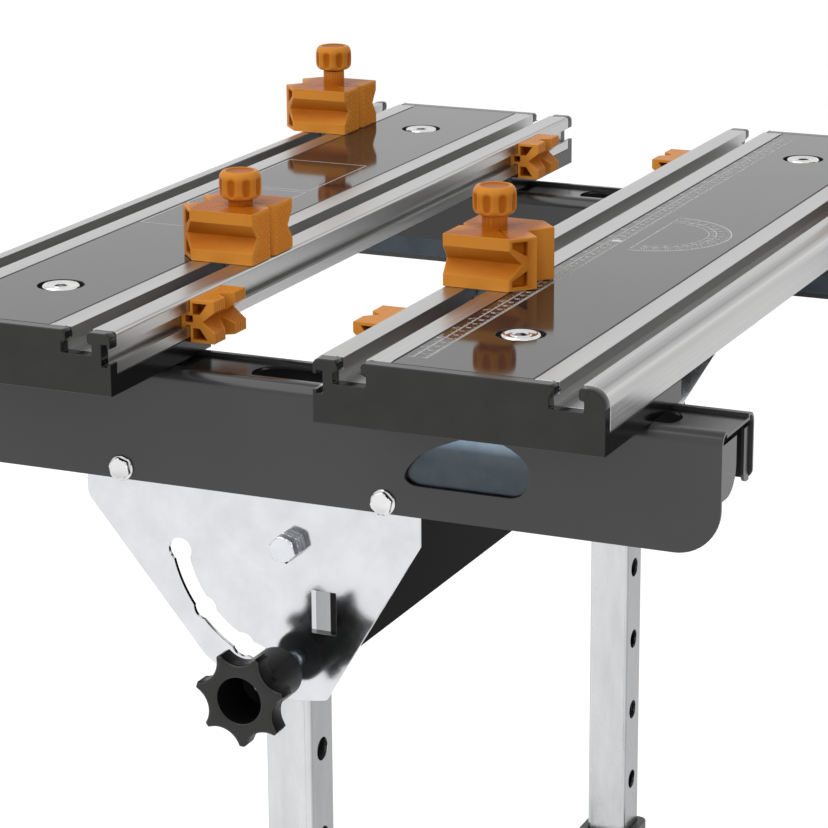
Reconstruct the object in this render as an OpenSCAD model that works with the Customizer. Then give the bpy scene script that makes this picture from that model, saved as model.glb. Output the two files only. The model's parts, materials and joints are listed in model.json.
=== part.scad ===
// Folding workbench: two slotted aluminium tops slide on a pair of pressed channels, the table frame
// tilts on a stand with telescopic legs, and the feet swivel flat for storage.
// Frame: X runs along the tops, Y across them, Z up. The origin is on the floor, under the middle of
// the table frame. The near end is -X, the far end +X, top a is on the +Y side and top b on the -Y side.
// All lengths are millimetres.

/* [Work surface] */
// Height of the work surface above the floor
work_h = 900; // [880:5:980]
// Length of each top, end caps included
top_len = 800; // [740:10:1000]
// Gap between the two tops
top_gap = 142; // [130:2:170]
// Width of the panel between two rails
panel_w = 94.5; // [80:0.5:120]
// Thickness of the panel
panel_t = 12; // [9:0.5:14]
// Dark joint on each side of the panel
panel_joint = 0.8; // [0.4:0.1:1.2]

/* [Rails] */
// Height of the aluminium rails
rail_h = 27; // [26:0.5:32]
// Width of the lip on the free side of the slot
lip_w = 17; // [15:0.5:20]
// Width of the slot's mouth
slot_w = 15.5; // [12:0.5:17]
// Width of the land between slot and panel
land_w = 16; // [14:0.5:20]
// Thickness of the lips above the slot's chamber
lip_t = 8; // [6:0.5:9]
// Width of the slot's chamber
chamber_w = 22; // [19:0.5:24]
// Height of the slot's chamber
chamber_h = 7; // [6:0.5:8]
// Depth of the side slot's upper edge below the work surface
side_slot_drop = 9.6; // [9:0.1:10.5]
// Mouth height of the side slot
side_mouth_h = 10; // [8:0.5:11]
// Thickness of the side slot's lips
side_lip_t = 2.6; // [2:0.1:3]
// Chamber height of the side slot
side_chamber_h = 14.4; // [12:0.1:15]
// Depth of the side slot
side_slot_depth = 6.6; // [6:0.1:8]
// Corner radius of the outer apron
apron_r = 12; // [8:0.5:14]
// Corner radius of the inner edge
edge_r = 2.5; // [1:0.5:4]
// Width of the ledge that carries the panel
ledge_w = 6; // [4:0.5:8]
// Thickness of that ledge
ledge_t = 2.8; // [2:0.1:4]
// Wall left around the hollows of a rail
rail_wall = 2.5; // [2:0.1:3]

/* [End caps] */
// Thickness of the end plate
cap_t = 9; // [6:0.5:12]
// Radius of the cap's inner upper edge
cap_edge_r = 4; // [2:0.5:5]
// Length of the shoe that sits on the channel
shoe_len = 136; // [134:1:160]
// Height of the shoe
shoe_h = 14; // [12:0.5:18]
// Floor thickness left under the shoe's pocket
shoe_floor_t = 4; // [3:0.5:6]
// Rib left round the shoe's pocket
shoe_rib = 8; // [5:0.5:10]
// Radius of the boss round a clamp screw
boss_r = 13; // [11:0.5:15]
// Radius of the cap's lips at the slot
lip_round_r = 2.5; // [1:0.5:3]

/* [Channels] */
// Distance from the end of the tops to the channel's outer face
chan_inset = 73; // [60:1:73]
// Width of the channel
chan_w = 62; // [60:1:66]
// Distance of the web slots and clamp screws from the channel's outer face
chan_line = 30; // [29:0.5:32]
// Length of the channel
chan_len = 622; // [600:2:680]
// Height of the outer wall
outer_wall_h = 79; // [76:1:86]
// Height of the inner wall
inner_wall_h = 45; // [42:1:60]
// Sheet thickness of the channel
sheet_t = 2; // [1.5:0.1:2.5]
// Outer bend radius along the rims
chan_r = 8; // [5:0.5:8]
// Width of the raised rim along the outer wall
rim_w = 11; // [10.5:0.5:11.5]
// Width of the raised rim along the inner wall
inner_rim_w = 11; // [10.5:0.5:12]
// Height of the rims above the web
rim_rise = 2.5; // [1.5:0.5:4]
// Width of the long web slots
web_slot_w = 36; // [26:1:36]
// Start and end of the slot under top b
web_slot_b = [-274, 22]; // [-290:1:60]
// Start and end of the slot under top a
web_slot_a = [74, 272]; // [60:1:290]
// Radius of the rounded lower corners of the outer wall
wall_corner_r = 30; // [15:1:40]
// Radius of the rounded lower corners of the inner wall
inner_corner_r = 6; // [4:1:20]
// Width of the folded end flange of the outer wall
flange_w = 34; // [24:1:36]
// Width of the folded end flange of the inner wall
inner_flange_w = 13; // [8:1:16]
// Height of the folded end flanges
flange_h = 36; // [28:1:38]
// Radius of the free lower corner of the outer wall's flange
flange_r = 17; // [8:1:20]
// Inset of the flanges from the channel's ends
flange_inset = 2; // [1:0.5:4]

/* [Wall opening] */
// Centre of the opening along the wall
window_y = -142.5; // [-160:0.5:-130]
// Width of the opening
window_w = 87; // [60:1:92]
// Lower edge of the opening below the rim
window_drop = 58; // [50:1:62]
// Height of the opening at its crown
window_h = 38; // [26:1:40]

/* [Tilt] */
// Pivot bolts lie this far from the middle of the table frame
pivot_y = -16; // [-20:0.5:-12]
// Legs lie this far from the middle of the table frame
leg_y = -10; // [-14:0.5:-8]
// Pivot below the work surface
pivot_drop = 151; // [150:1:156]
// Radius of the pivot bolt
pivot_r = 5; // [4:0.5:6]
// Thickness of the tilt plate
plate_t = 3; // [2.5:0.5:4]
// Radius of the locking arc
lock_r = 83.3; // [80:0.1:86]
// Angle of the lock below the horizontal with the table level
lock_angle = 88.5; // [86:0.5:92]
// Tilt of the table in each locking position
detent_turn = [0, 24.5, 49, 78.5]; // [0:0.5:84]
// Width of the arc slot
arc_w = 12.2; // [11:0.1:12.6]
// Radius of the round locking seats
detent_r = 8.4; // [7.8:0.1:9]
// Radius of the plate's lower edge about the pivot
plate_r = 108; // [104:1:114]
// Reach of the plate on the +Y side of the pivot
plate_left = 151; // [140:1:160]
// Reach of the plate on the -Y side of the pivot
plate_right = 92.5; // [88:0.5:100]
// Height of the plate above the pivot
plate_top = 49; // [46:1:49]
// Radius of the plate's corner on the +Y side
plate_knee_r = 12; // [6:1:20]
// Plate bolts on the +Y and -Y side of the pivot
plate_bolt_y = [123.5, -68]; // [-80:0.5:135]
// Height of the plate bolts above the pivot
plate_bolt_z = 38.3; // [38:0.1:40]
// Radius of the plate bolts
plate_bolt_r = 4; // [3:0.5:4.5]

/* [Stand] */
// Side of the square leg tube
leg_w = 34; // [32:1:34]
// Wall of the leg tube
leg_wall = 2; // [1.5:0.1:2.5]
// Outer corner radius of the leg tube
leg_corner_r = 2.6; // [2.6:0.2:5]
// Height of the leg tube above the pivot
leg_above = 22; // [18:1:23]
// Radius of the height holes
hole_r = 8; // [6:0.5:8.5]
// Pitch of the height holes
hole_pitch = 64.7; // [60:0.1:68]
// Number of height holes
holes = 6; // [5:1:6]
// Side of the square post tube
post_w = 40; // [39.5:0.5:44]
// Wall of the post tube
post_wall = 2.5; // [2:0.1:2.5]
// Outer corner radius of the post tube
post_corner_r = 3.5; // [3:0.5:5]
// Height of the top of the post
post_top = 292; // [270:1:310]
// Length of leg tube held inside the post
leg_overlap = 87; // [80:1:90]
// Height lock below the top of the post
lock_drop = 16; // [14:1:20]
// Height of the beam between the legs
beam_h = 90; // [60:1:94]
// Thickness of the beam
beam_t = 30; // [26:1:30]
// Height of the set-back lower edge of the beam
beam_foot_h = 26; // [12:1:30]
// Depth of that set-back
beam_setback = 4; // [2:0.5:6]
// Top of the beam below the pivot
beam_drop = 13; // [12:1:20]

/* [Feet] */
// Length of a foot bar over its rubber ends
foot_len = 580; // [480:10:588]
// Width of a foot bar
foot_w = 40; // [34:1:46]
// Height of a foot bar
foot_h = 25; // [22:1:30]
// Wall of a foot bar
foot_wall = 2; // [1.5:0.1:2.5]
// Outer corner radius of a foot bar
foot_corner_r = 3; // [2.5:0.5:5]
// Floor clearance under a foot bar
foot_lift = 9; // [8.5:0.5:14]
// Wall of the rubber ends
pad_wall = 3; // [2:0.5:4]
// Length of the rubber ends
pad_len = 42; // [30:1:60]

/* [Tilt lock] */
// Tip radius of the star knob
star_r = 31.8; // [28:0.1:33]
// Valley radius of the star knob
star_valley_r = 24; // [21:0.5:25]
// Number of lobes
star_lobes = 7; // [5:1:8]
// Thickness of the star
star_t = 15; // [12:1:20]
// Radius of the star knob's hub
hub_r = 17.3; // [17:0.1:18]
// Length of the hub
hub_len = 43.3; // [36:0.1:46]
// Radius of the recess in the star's face
star_bore_r = 15.5; // [12:0.1:15.7]
// Depth of that recess
star_bore_depth = 35; // [20:1:40]
// Radius of the plunger's sleeve
sleeve_r = 6.3; // [5.6:0.1:7]
// Length of the plunger's sleeve
sleeve_len = 11.5; // [10:0.5:20]

/* [Clamp blocks] */
// Length of a block along the slot
block_l = 62; // [54:1:66]
// Width of a block across the slot
block_w = 62; // [56:1:64]
// Height of a block
block_h = 36; // [30:1:40]
// Depth of the grooves in the block's ends
groove_d = 7; // [4:0.5:8]
// Height of those grooves
groove_h = 20; // [14:1:22]
// Radius of the collar on a block
collar_r = 8.7; // [7.5:0.1:9]
// Height of the collar
collar_h = 12; // [8:0.5:14]
// Radius of the block knobs
grip_r = 15; // [13.5:0.5:17]
// Height of the block knobs
grip_h = 19.5; // [18:0.5:26]
// Number of flutes on a block knob
grip_flutes = 8; // [6:1:12]
// Radius of the clamp screws
screw_r = 4; // [3:0.5:4.5]

/* [Side jaws] */
// Length of a side jaw
jaw_l = 46; // [40:1:50]
// Reach of a side jaw into the gap
jaw_t = 18; // [14:0.5:20]
// Height of a side jaw
jaw_h = 28.8; // [26:0.2:30]
// Depth of the jaw's crossed grooves
jaw_groove_d = 8.5; // [5:0.5:9]
// Width of the jaw's crossed grooves
jaw_groove_w = 14; // [10:0.5:16]

/* [Hidden] */
$fn = 48;
cut = 0.5;
lap = 1;
slide_clear = 0.2;
run_clear = 0.05;
loose_clear = 0.3;

// Tops
half_len = top_len / 2;
rail_w = lip_w + slot_w + land_w;
top_w = 2 * rail_w + panel_w;
top_h = rail_h + shoe_h;
rail_x0 = -half_len + cap_t;
rail_len = top_len - 2 * cap_t;
slot_mid = lip_w + slot_w / 2;
panel_mid = top_w / 2;
side_mid = side_slot_drop + side_mouth_h / 2;
hollow_top = lip_t + chamber_h + rail_wall;

// Channels
chan_x0 = -half_len + chan_inset;
chan_mid = chan_x0 + chan_line;
rim_z = work_h - top_h - slide_clear;
web_z = rim_z - rim_rise;
outer_wall_z = rim_z - outer_wall_h;
inner_wall_z = rim_z - inner_wall_h;
flange_gap = 5;
flange_z = web_z - sheet_t - flange_gap - flange_h;

// Outline of the wall opening, as shares of its width and height
window_shares = [
    [0.499, 0.142], [0.494, 0.205], [0.474, 0.3], [0.438, 0.408], [0.371, 0.558], [0.305, 0.655],
    [0.238, 0.737], [0.172, 0.8], [0.106, 0.861], [0.04, 0.921], [-0.03, 0.972], [-0.1, 0.998],
    [-0.17, 0.994], [-0.225, 0.966], [-0.267, 0.927], [-0.345, 0.847], [-0.416, 0.745], [-0.455, 0.655],
    [-0.479, 0.563], [-0.494, 0.49], [-0.5, 0.41], [-0.495, 0.31], [-0.48, 0.216], [-0.451, 0.125],
    [-0.409, 0.05], [-0.37, 0.015], [-0.334, 0], [0.38, 0], [0.42, 0.008], [0.455, 0.034],
    [0.48, 0.073], [0.494, 0.108]];

// Clamp screws and their saddles
head_r = 13;
head_t = 4.4;
head_rise = 0.6;
head_recess_r = 10.4;
head_recess_d = 1.1;
socket_r = 5.2;
socket_d = 3;
sink_r = 16;
sink_d = head_t - head_rise + slide_clear;
saddle_t = 3;
saddle_l = 136;
saddle_side_gap = 1.5;
saddle_w = chan_w - 2 * sheet_t - 2 * saddle_side_gap;
saddle_flange = 55.5;
saddle_nut_r = 9;
saddle_nut_t = 9;
thread_out = 1.5;
saddle_z = web_z - sheet_t - slide_clear;
screw_end_z = saddle_z - saddle_t - saddle_nut_t - 2 * thread_out;

// Tilt plate and legs
pivot_z = work_h - pivot_drop;
plate_x0 = chan_x0 + sheet_t;
washer_t = 1;
leg_x0 = plate_x0 + plate_t + washer_t;
leg_x = leg_x0 + leg_w / 2;
leg_bottom = post_top - leg_overlap;
leg_top = pivot_z + leg_above;
lock_hole_z = post_top - lock_drop;
lock_y = lock_r * cos(-lock_angle);
lock_z = lock_r * sin(-lock_angle);
arc_steps = 4;
arc_end = lock_angle - max(detent_turn);
plate_skew_left = [114, 136];
knee_turn = atan2(plate_skew_left[0], plate_skew_left[1]);
knee_steps = 6;
plate_skew_right = [77, 130];
port_y = [-32.7, -14.9];
port_z = [-58.8, -29.2];
port_lip = 1.5;
port_depth = 5;
hex_r = 9.8;
hex_t = 5.6;
hex_gap = 0.4;
hex_head_t = 6.5;
hex_turn = -14.6;
bolt_head_r = 8.1;
bolt_head_t = 3;
bolt_flange_r = 8.7;
bolt_flange_t = 1.3;
bolt_nut_t = 6.5;
bush_len = 18;
beam_top = pivot_z - beam_drop;
beam_wall = 2;
plug_t = 4;
plug_fit = 14;

// Posts, sleeves and height locks
post_bottom = foot_lift + foot_h + slide_clear;
base_t = 4;
base_l = 64;
collar_wall = 4;
collar_len = 44;
collar_lip = 4;
pin_r = 7;
pin_boss_r = 13;
pin_boss_len = 12;
pin_knob_r = 14;
pin_knob_len = 16;
pin_nose = 4;
pin_travel = 8;

// Foot bolt
foot_bolt_r = 5;
foot_head_r = 9.2;
foot_head_t = 6.3;

// Tilt lock
bush_r = 9;
nose_r = 5.2;
nose_len = 13;
shoulder_r = 7.4;
shoulder_len = 3;
shaft_r = 5;
nut_ring_r = 6.2;
nut_ring_t = 4;
star_scallop_r = 16;
hub_x0 = -shoulder_len - sleeve_len - loose_clear - hub_len;
star_floor_x = hub_x0 - star_t + star_bore_depth;

// Blocks and knobs
block_chamfer = [15.5, 14];
block_notch_d = 13.5;
face_groove_w = 9;
face_groove_d = 4.5;
pocket_l = 10.5;
pocket_h = 10;
pocket_side_share = 0.4;
pocket_d = 5;
pocket_inset = 3;
tnut_l = 24;
tnut_clear = 0.35;
grip_edge_r = 5;
grip_flute_r = 7;
grip_flute_d = 1.3;
grip_bore_d = 10;

// Places of the blocks and jaws from the ends of the tops, and the height of each knob above its block
block_inset = [230, 123, 229.7, 115];
block_x = [for (k = [0 : 3]) (k % 2 == 0 ? -1 : 1) * (half_len - block_inset[k])];
knob_gap = [4.1, 13.2, 9.4, 13];
jaw_inset = [129, 100, 120, 118];
jaw_x = [for (k = [0 : 3]) (k % 2 == 0 ? -1 : 1) * (half_len - jaw_inset[k])];
jaw_drop = 1.6;
jaw_clear = 0.25;
jaw_pocket_d = 12;
jaw_pocket_wall = 2.2;
rib_pitch = 2.6;
rib_w = 0.9;
rib_d = 0.7;
ribs = 5;

// Placing helpers: every end is drawn at the near end and every top on the +Y side
module far() mirror([1, 0, 0]) children();
module side_b() mirror([0, 1, 0]) children();

// Turns a profile drawn in (y, z) into a bar along X
module along_x(x0, length) translate([x0, 0, 0]) rotate([90, 0, 90]) linear_extrude(length) children();

// Turns a profile drawn in (x, z) into a bar along Y
module along_y(y0, length) translate([0, y0 + length, 0]) rotate([90, 0, 0]) linear_extrude(length) children();

// Round bar along X from x0 to x1
module rod_x(x0, x1, r) translate([x0, 0, 0]) rotate([0, 90, 0]) cylinder(h = x1 - x0, r = r);

// Moves to the pivot of the near end
module at_pivot() translate([0, pivot_y, pivot_z]) children();

// Moves to the inner edge of top a at the height of the work surface
module at_top() translate([0, top_gap / 2, work_h]) children();

// A square corner of side r with its round taken away, for cutting a rounded edge
module corner_cut(r) difference() {
    translate([-cut, -cut]) square(r + cut);
    translate([r, r]) circle(r);
}

// Rectangle about the origin with round corners
module rounded_2d(w, h, r) {
    square([w - 2 * r, h], center = true);
    square([w, h - 2 * r], center = true);
    for (x = [r - w / 2, w / 2 - r], y = [r - h / 2, h / 2 - r]) translate([x, y]) circle(r);
}

// Wall of a tube with round corners
module tube_2d(w, h, wall, r) difference() {
    rounded_2d(w, h, r);
    rounded_2d(w - 2 * wall, h - 2 * wall, r - wall);
}

// Square tube standing along Z
module square_tube(w, wall, r, z0, z1)
    translate([0, 0, z0]) linear_extrude(z1 - z0) tube_2d(w, w, wall, r);

// Profile of the slot in the top of a rail, y measured from the rail's free side
module top_slot_2d() {
    translate([lip_w, -lip_t - cut]) square([slot_w, lip_t + 2 * cut]);
    translate([slot_mid - chamber_w / 2, -lip_t - chamber_h]) square([chamber_w, chamber_h]);
}

// Profile of the slot in the side of an inner rail
module side_slot_2d() {
    translate([-cut, -side_slot_drop - side_mouth_h]) square([side_lip_t + 2 * cut, side_mouth_h]);
    translate([side_lip_t, -side_mid - side_chamber_h / 2])
        square([side_slot_depth - side_lip_t, side_chamber_h]);
}

// Rounded upper edge of a rail or cap, apron on the outer side or a small round on the inner side
module edge_cut_2d(r) translate([0, 0]) mirror([0, 1]) corner_cut(r);

// Full profile of a rail; apron gives the outer rail, otherwise the inner rail with its side slot
module rail_2d(apron) difference() {
    union() {
        translate([0, -rail_h]) square([rail_w, rail_h]);
        translate([rail_w - rail_wall, -panel_t - ledge_t]) square([ledge_w + rail_wall, ledge_t]);
    }
    top_slot_2d();
    edge_cut_2d(apron ? apron_r : edge_r);
    if (!apron) side_slot_2d();
    translate([side_slot_depth + rail_wall, -rail_h + rail_wall])
        square([rail_w - side_slot_depth - 2 * rail_wall, rail_h - rail_wall - hollow_top]);
    translate([slot_mid + chamber_w / 2 + rail_wall, -lip_t - chamber_h])
        square([rail_w - slot_mid - chamber_w / 2 - 2 * rail_wall, lip_t + chamber_h - rail_wall]);
}

module rail_inner() color([0.73, 0.73, 0.72]) at_top() along_x(rail_x0, rail_len) rail_2d(false);

module rail_outer() color([0.73, 0.73, 0.72]) at_top()
    translate([0, top_w, 0]) mirror([0, 1, 0]) along_x(rail_x0, rail_len) rail_2d(true);

module panel() color([0.33, 0.33, 0.33]) at_top() difference() {
    translate([rail_x0, rail_w + panel_joint, -panel_t])
        cube([rail_len, panel_w - 2 * panel_joint, panel_t]);
    for (s = [-1, 1]) translate([s * chan_mid, panel_mid, 0]) {
        translate([0, 0, -panel_t - cut]) cylinder(h = panel_t + 2 * cut, r = screw_r + loose_clear);
        translate([0, 0, -sink_d]) cylinder(h = sink_d + cut, r = sink_r);
    }
}

// Outline of the end plate of a cap, with the mouths of the slots left open
module cap_2d() difference() {
    translate([0, -top_h]) square([top_w, top_h]);
    top_slot_2d();
    side_slot_2d();
    edge_cut_2d(cap_edge_r);
    translate([top_w, 0]) mirror([1, 0]) {
        top_slot_2d();
        edge_cut_2d(apron_r);
        lip_rounds_2d();
    }
    lip_rounds_2d();
}

// Rounded edges of a cap's lips at the mouth of the slot, on both sides of it
module lip_rounds_2d() for (s = [0, 1]) translate([slot_mid, 0]) mirror([s, 0]) translate([slot_w / 2, 0]) {
    edge_cut_2d(lip_round_r);
    translate([0, -lip_t]) corner_cut(lip_round_r);
}

// End cap with the shoe that slides on the channel; the pocket faces the panel
module cap() color([0.24, 0.24, 0.23]) at_top() difference() {
    union() {
        along_x(-half_len, cap_t) cap_2d();
        difference() {
            translate([-half_len, 0, -top_h]) cube([shoe_len, top_w, shoe_h]);
            translate([-half_len + cap_t + shoe_rib, rail_w + ledge_w + shoe_rib, -top_h + shoe_floor_t])
                cube([shoe_len - cap_t - 2 * shoe_rib, panel_w - 2 * (ledge_w + shoe_rib), shoe_h]);
        }
        translate([chan_mid, panel_mid, -top_h]) cylinder(h = top_h - panel_t, r = boss_r);
    }
    translate([chan_mid, panel_mid, -top_h - cut]) cylinder(h = top_h, r = screw_r + loose_clear);
}

// Flat clamp screw with a raised rim and a hexagon socket
module clamp_screw(s) color([0.75, 0.75, 0.75]) at_top()
    translate([s * chan_mid, panel_mid, 0]) difference() {
        union() {
            translate([0, 0, head_rise - head_t]) cylinder(h = head_t, r = head_r);
            translate([0, 0, screw_end_z - work_h])
                cylinder(h = work_h - screw_end_z + head_rise - head_t + cut, r = screw_r);
        }
        translate([0, 0, head_rise - head_recess_d]) cylinder(h = head_recess_d + cut, r = head_recess_r);
        translate([0, 0, head_rise - head_recess_d - socket_d])
            cylinder(h = socket_d + cut, r = socket_r, $fn = 6);
    }

// Folded saddle with a threaded nut, drawn under the web of the near channel
module saddle() color([0.66, 0.71, 0.78])
    translate([chan_mid, top_gap / 2 + panel_mid, saddle_z]) difference() {
        union() {
            translate([chan_w / 2 - chan_line, 0, 0]) {
                translate([-saddle_w / 2, -saddle_l / 2, -saddle_t]) cube([saddle_w, saddle_l, saddle_t]);
                for (s = [0, 1]) mirror([s, 0, 0])
                    translate([saddle_w / 2 - saddle_t, -saddle_l / 2, -saddle_flange])
                        cube([saddle_t, saddle_l, saddle_flange]);
            }
            translate([0, 0, -saddle_t - saddle_nut_t])
                cylinder(h = saddle_nut_t + saddle_t / 2, r = saddle_nut_r, $fn = 6);
        }
        translate([0, 0, -saddle_t - saddle_nut_t - cut])
            cylinder(h = saddle_t + saddle_nut_t + 2 * cut, r = screw_r + run_clear);
    }

module saddles() {
    saddle();
    far() saddle();
}

// Quarter ring of a rim's bend
module bend_2d() intersection() {
    difference() {
        circle(chan_r);
        circle(chan_r - sheet_t);
    }
    translate([-chan_r, 0]) square(chan_r);
}

// Cross section of the channel, x from its outer face, z from the top of the rims
module channel_2d() {
    translate([0, -outer_wall_h]) square([sheet_t, outer_wall_h - chan_r]);
    translate([chan_w - sheet_t, -inner_wall_h]) square([sheet_t, inner_wall_h - chan_r]);
    translate([chan_r, -chan_r]) bend_2d();
    translate([chan_w - chan_r, -chan_r]) mirror([1, 0]) bend_2d();
    translate([chan_r, -sheet_t]) square([rim_w - chan_r, sheet_t]);
    translate([chan_w - inner_rim_w, -sheet_t]) square([inner_rim_w - chan_r, sheet_t]);
    translate([rim_w - sheet_t, -rim_rise - sheet_t]) square([sheet_t, rim_rise + sheet_t]);
    translate([chan_w - inner_rim_w, -rim_rise - sheet_t]) square([sheet_t, rim_rise + sheet_t]);
    translate([rim_w - sheet_t, -rim_rise - sheet_t])
        square([chan_w - rim_w - inner_rim_w + 2 * sheet_t, sheet_t]);
}

// Long web slot with round ends, from y0 to y1
module web_slot(span) translate([0, 0, web_z - sheet_t - cut]) linear_extrude(sheet_t + 2 * cut) {
    translate([chan_mid - web_slot_w / 2, span[0] + web_slot_w / 2])
        square([web_slot_w, span[1] - span[0] - web_slot_w]);
    for (y = [span[0] + web_slot_w / 2, span[1] - web_slot_w / 2])
        translate([chan_mid, y]) circle(web_slot_w / 2);
}

// Rounds the lower corners of a wall that starts at x0
module wall_corner(x0, z, r) for (s = [0, 1]) mirror([0, s, 0])
    translate([0, -chan_len / 2, z]) along_x(x0 - cut, sheet_t + 2 * cut) corner_cut(r);

// Opening in the outer wall: a leaning dome with rounded lower corners
module window_2d() polygon([for (p = window_shares) [p[0] * window_w, p[1] * window_h]]);

// Folded end flange, standing inside the mouth of the channel, its free lower corner rounded
module flange(width, r) translate([0, flange_inset - chan_len / 2, flange_z])
    rotate([90, 0, 0]) translate([0, 0, -sheet_t]) linear_extrude(sheet_t) difference() {
        square([width, flange_h]);
        translate([width, 0]) mirror([1, 0]) corner_cut(r);
    }

module channel() color([0.3, 0.3, 0.31]) difference() {
    union() {
        translate([chan_x0, 0, rim_z]) along_y(-chan_len / 2, chan_len) channel_2d();
        for (s = [0, 1]) mirror([0, s, 0]) {
            translate([chan_x0, 0, 0]) flange(flange_w, flange_r);
            translate([chan_x0 + chan_w, 0, 0]) mirror([1, 0, 0]) flange(inner_flange_w, inner_flange_w / 2);
        }
    }
    web_slot(web_slot_a);
    web_slot(web_slot_b);
    wall_corner(chan_x0, outer_wall_z, wall_corner_r);
    wall_corner(chan_x0 + chan_w - sheet_t, inner_wall_z, inner_corner_r);
    translate([0, window_y, rim_z - window_drop]) along_x(chan_x0 - cut, sheet_t + 2 * cut) window_2d();
    at_pivot() for (y = plate_bolt_y) translate([0, y, plate_bolt_z])
        rod_x(chan_x0 - cut, chan_x0 + sheet_t + cut, plate_bolt_r + loose_clear);
}

// Arc slot with its round locking seats, about the pivot
module arc_slot_2d() {
    intersection() {
        difference() {
            circle(lock_r + arc_w / 2);
            circle(lock_r - arc_w / 2);
        }
        polygon([[0, 0],
            for (k = [0 : arc_steps]) let(a = -arc_end - k * (lock_angle - arc_end) / arc_steps)
                2 * lock_r * [cos(a), sin(a)]]);
    }
    for (a = detent_turn) rotate(a - lock_angle) translate([lock_r, 0]) circle(detent_r);
}

module plate_2d() difference() {
    intersection() {
        polygon([
            [plate_left, plate_top],
            for (k = [0 : knee_steps]) [plate_left - plate_knee_r, plate_top / 3 + plate_knee_r * tan(knee_turn / 2)]
                + plate_knee_r * [cos(-k * knee_turn / knee_steps), sin(-k * knee_turn / knee_steps)],
            [plate_left - plate_skew_left[0], plate_top / 3 - plate_skew_left[1]],
            [plate_skew_right[0] - plate_right, plate_top / 5 - plate_skew_right[1]],
            [-plate_right, plate_top / 5], [-plate_right, plate_top]]);
        union() {
            circle(plate_r, $fn = 96);
            translate([-plate_right, -plate_r * 0.64])
                square([plate_left + plate_right, plate_top + plate_r * 0.64]);
        }
    }
    circle(pivot_r + run_clear);
    arc_slot_2d();
    for (y = plate_bolt_y) translate([y, plate_bolt_z]) circle(plate_bolt_r + loose_clear);
    translate([port_y[0], port_z[0]]) square([port_y[1] - port_y[0], port_z[1] - port_z[0]]);
}

// Rectangular port in the plate, with its lips turned inwards
module port_lips() difference() {
    translate([0, port_y[0] - port_lip, port_z[0] - port_lip])
        cube([port_depth, port_y[1] - port_y[0] + 2 * port_lip, port_z[1] - port_z[0] + 2 * port_lip]);
    translate([-cut, port_y[0], port_z[0]])
        cube([port_depth + 2 * cut, port_y[1] - port_y[0], port_z[1] - port_z[0]]);
}

module tilt_plate() color([0.85, 0.86, 0.87]) at_pivot() {
    along_x(plate_x0, plate_t) plate_2d();
    translate([plate_x0 + plate_t / 2, 0, 0]) port_lips();
}

// Hexagon bar along X
module hex_x(x0, x1, r, turn = 0) translate([x0, 0, 0]) rotate([turn, 0, 0]) rotate([0, 90, 0])
    cylinder(h = x1 - x0, r = r, $fn = 6);

// Flanged bolt through channel wall and plate, with its nut inside
module plate_bolt() color([0.8, 0.8, 0.8]) {
    hex_x(chan_x0 - bolt_flange_t - bolt_head_t, chan_x0 - bolt_flange_t / 2, bolt_head_r);
    rod_x(chan_x0 - bolt_flange_t, chan_x0, bolt_flange_r);
    rod_x(chan_x0 - bolt_flange_t / 2, plate_x0 + plate_t + bolt_nut_t + thread_out, plate_bolt_r);
    hex_x(plate_x0 + plate_t, plate_x0 + plate_t + bolt_nut_t, bolt_head_r);
}

module plate_bolts() for (s = [0, 1]) mirror([s, 0, 0])
    at_pivot() for (y = plate_bolt_y) translate([0, y, plate_bolt_z]) plate_bolt();

// Pivot bolt with its head and a lock nut in front of the plate, and a nut behind the leg
module pivot_bolt() color([0.72, 0.75, 0.8]) at_pivot() {
    face = plate_x0 - slide_clear;
    hex_x(face - hex_t, face, hex_r, hex_turn);
    rod_x(face - hex_t - hex_gap - lap, face - hex_t / 2, hex_r * 0.8);
    hex_x(face - hex_t - hex_gap - hex_head_t, face - hex_t - hex_gap, hex_r, hex_turn);
    rod_x(face - hex_t, leg_x0 + leg_w + hex_t, pivot_r);
    rod_x(plate_x0 + plate_t + slide_clear, leg_x0, hex_r);
    hex_x(leg_x0 + leg_w, leg_x0 + leg_w + hex_t, hex_r);
}

module pivot_bolts() {
    pivot_bolt();
    far() pivot_bolt();
}

// Square leg tube with its height holes, the bush of the tilt lock and the pivot hole
module leg() color([0.75, 0.76, 0.78]) difference() {
    union() {
        translate([leg_x, leg_y, 0]) square_tube(leg_w, leg_wall, leg_corner_r, leg_bottom, leg_top);
        at_pivot() translate([0, lock_y, lock_z]) rod_x(leg_x0 + leg_wall / 2, leg_x0 + bush_len, bush_r);
    }
    at_pivot() {
        rod_x(leg_x0 - cut, leg_x0 + leg_w + cut, pivot_r + loose_clear);
        translate([0, lock_y, lock_z]) rod_x(leg_x0 - cut, leg_x0 + bush_len + cut, nose_r + run_clear);
    }
    for (k = [0 : holes - 1])
        translate([leg_x, leg_y, lock_hole_z + k * hole_pitch]) rotate([90, 0, 0])
            cylinder(h = leg_w + 2 * cut, r = hole_r, center = true);
}

// Plastic plug in the top of a leg tube
module leg_plug() color([0.15, 0.15, 0.15]) translate([leg_x, leg_y, leg_top]) {
    linear_extrude(plug_t - lap) rounded_2d(leg_w, leg_w, leg_corner_r);
    translate([0, 0, -plug_fit + plug_t]) linear_extrude(plug_fit - plug_t + lap)
        square(leg_w - 2 * leg_wall - 2 * slide_clear, center = true);
}

module leg_plugs() {
    leg_plug();
    far() leg_plug();
}

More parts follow.
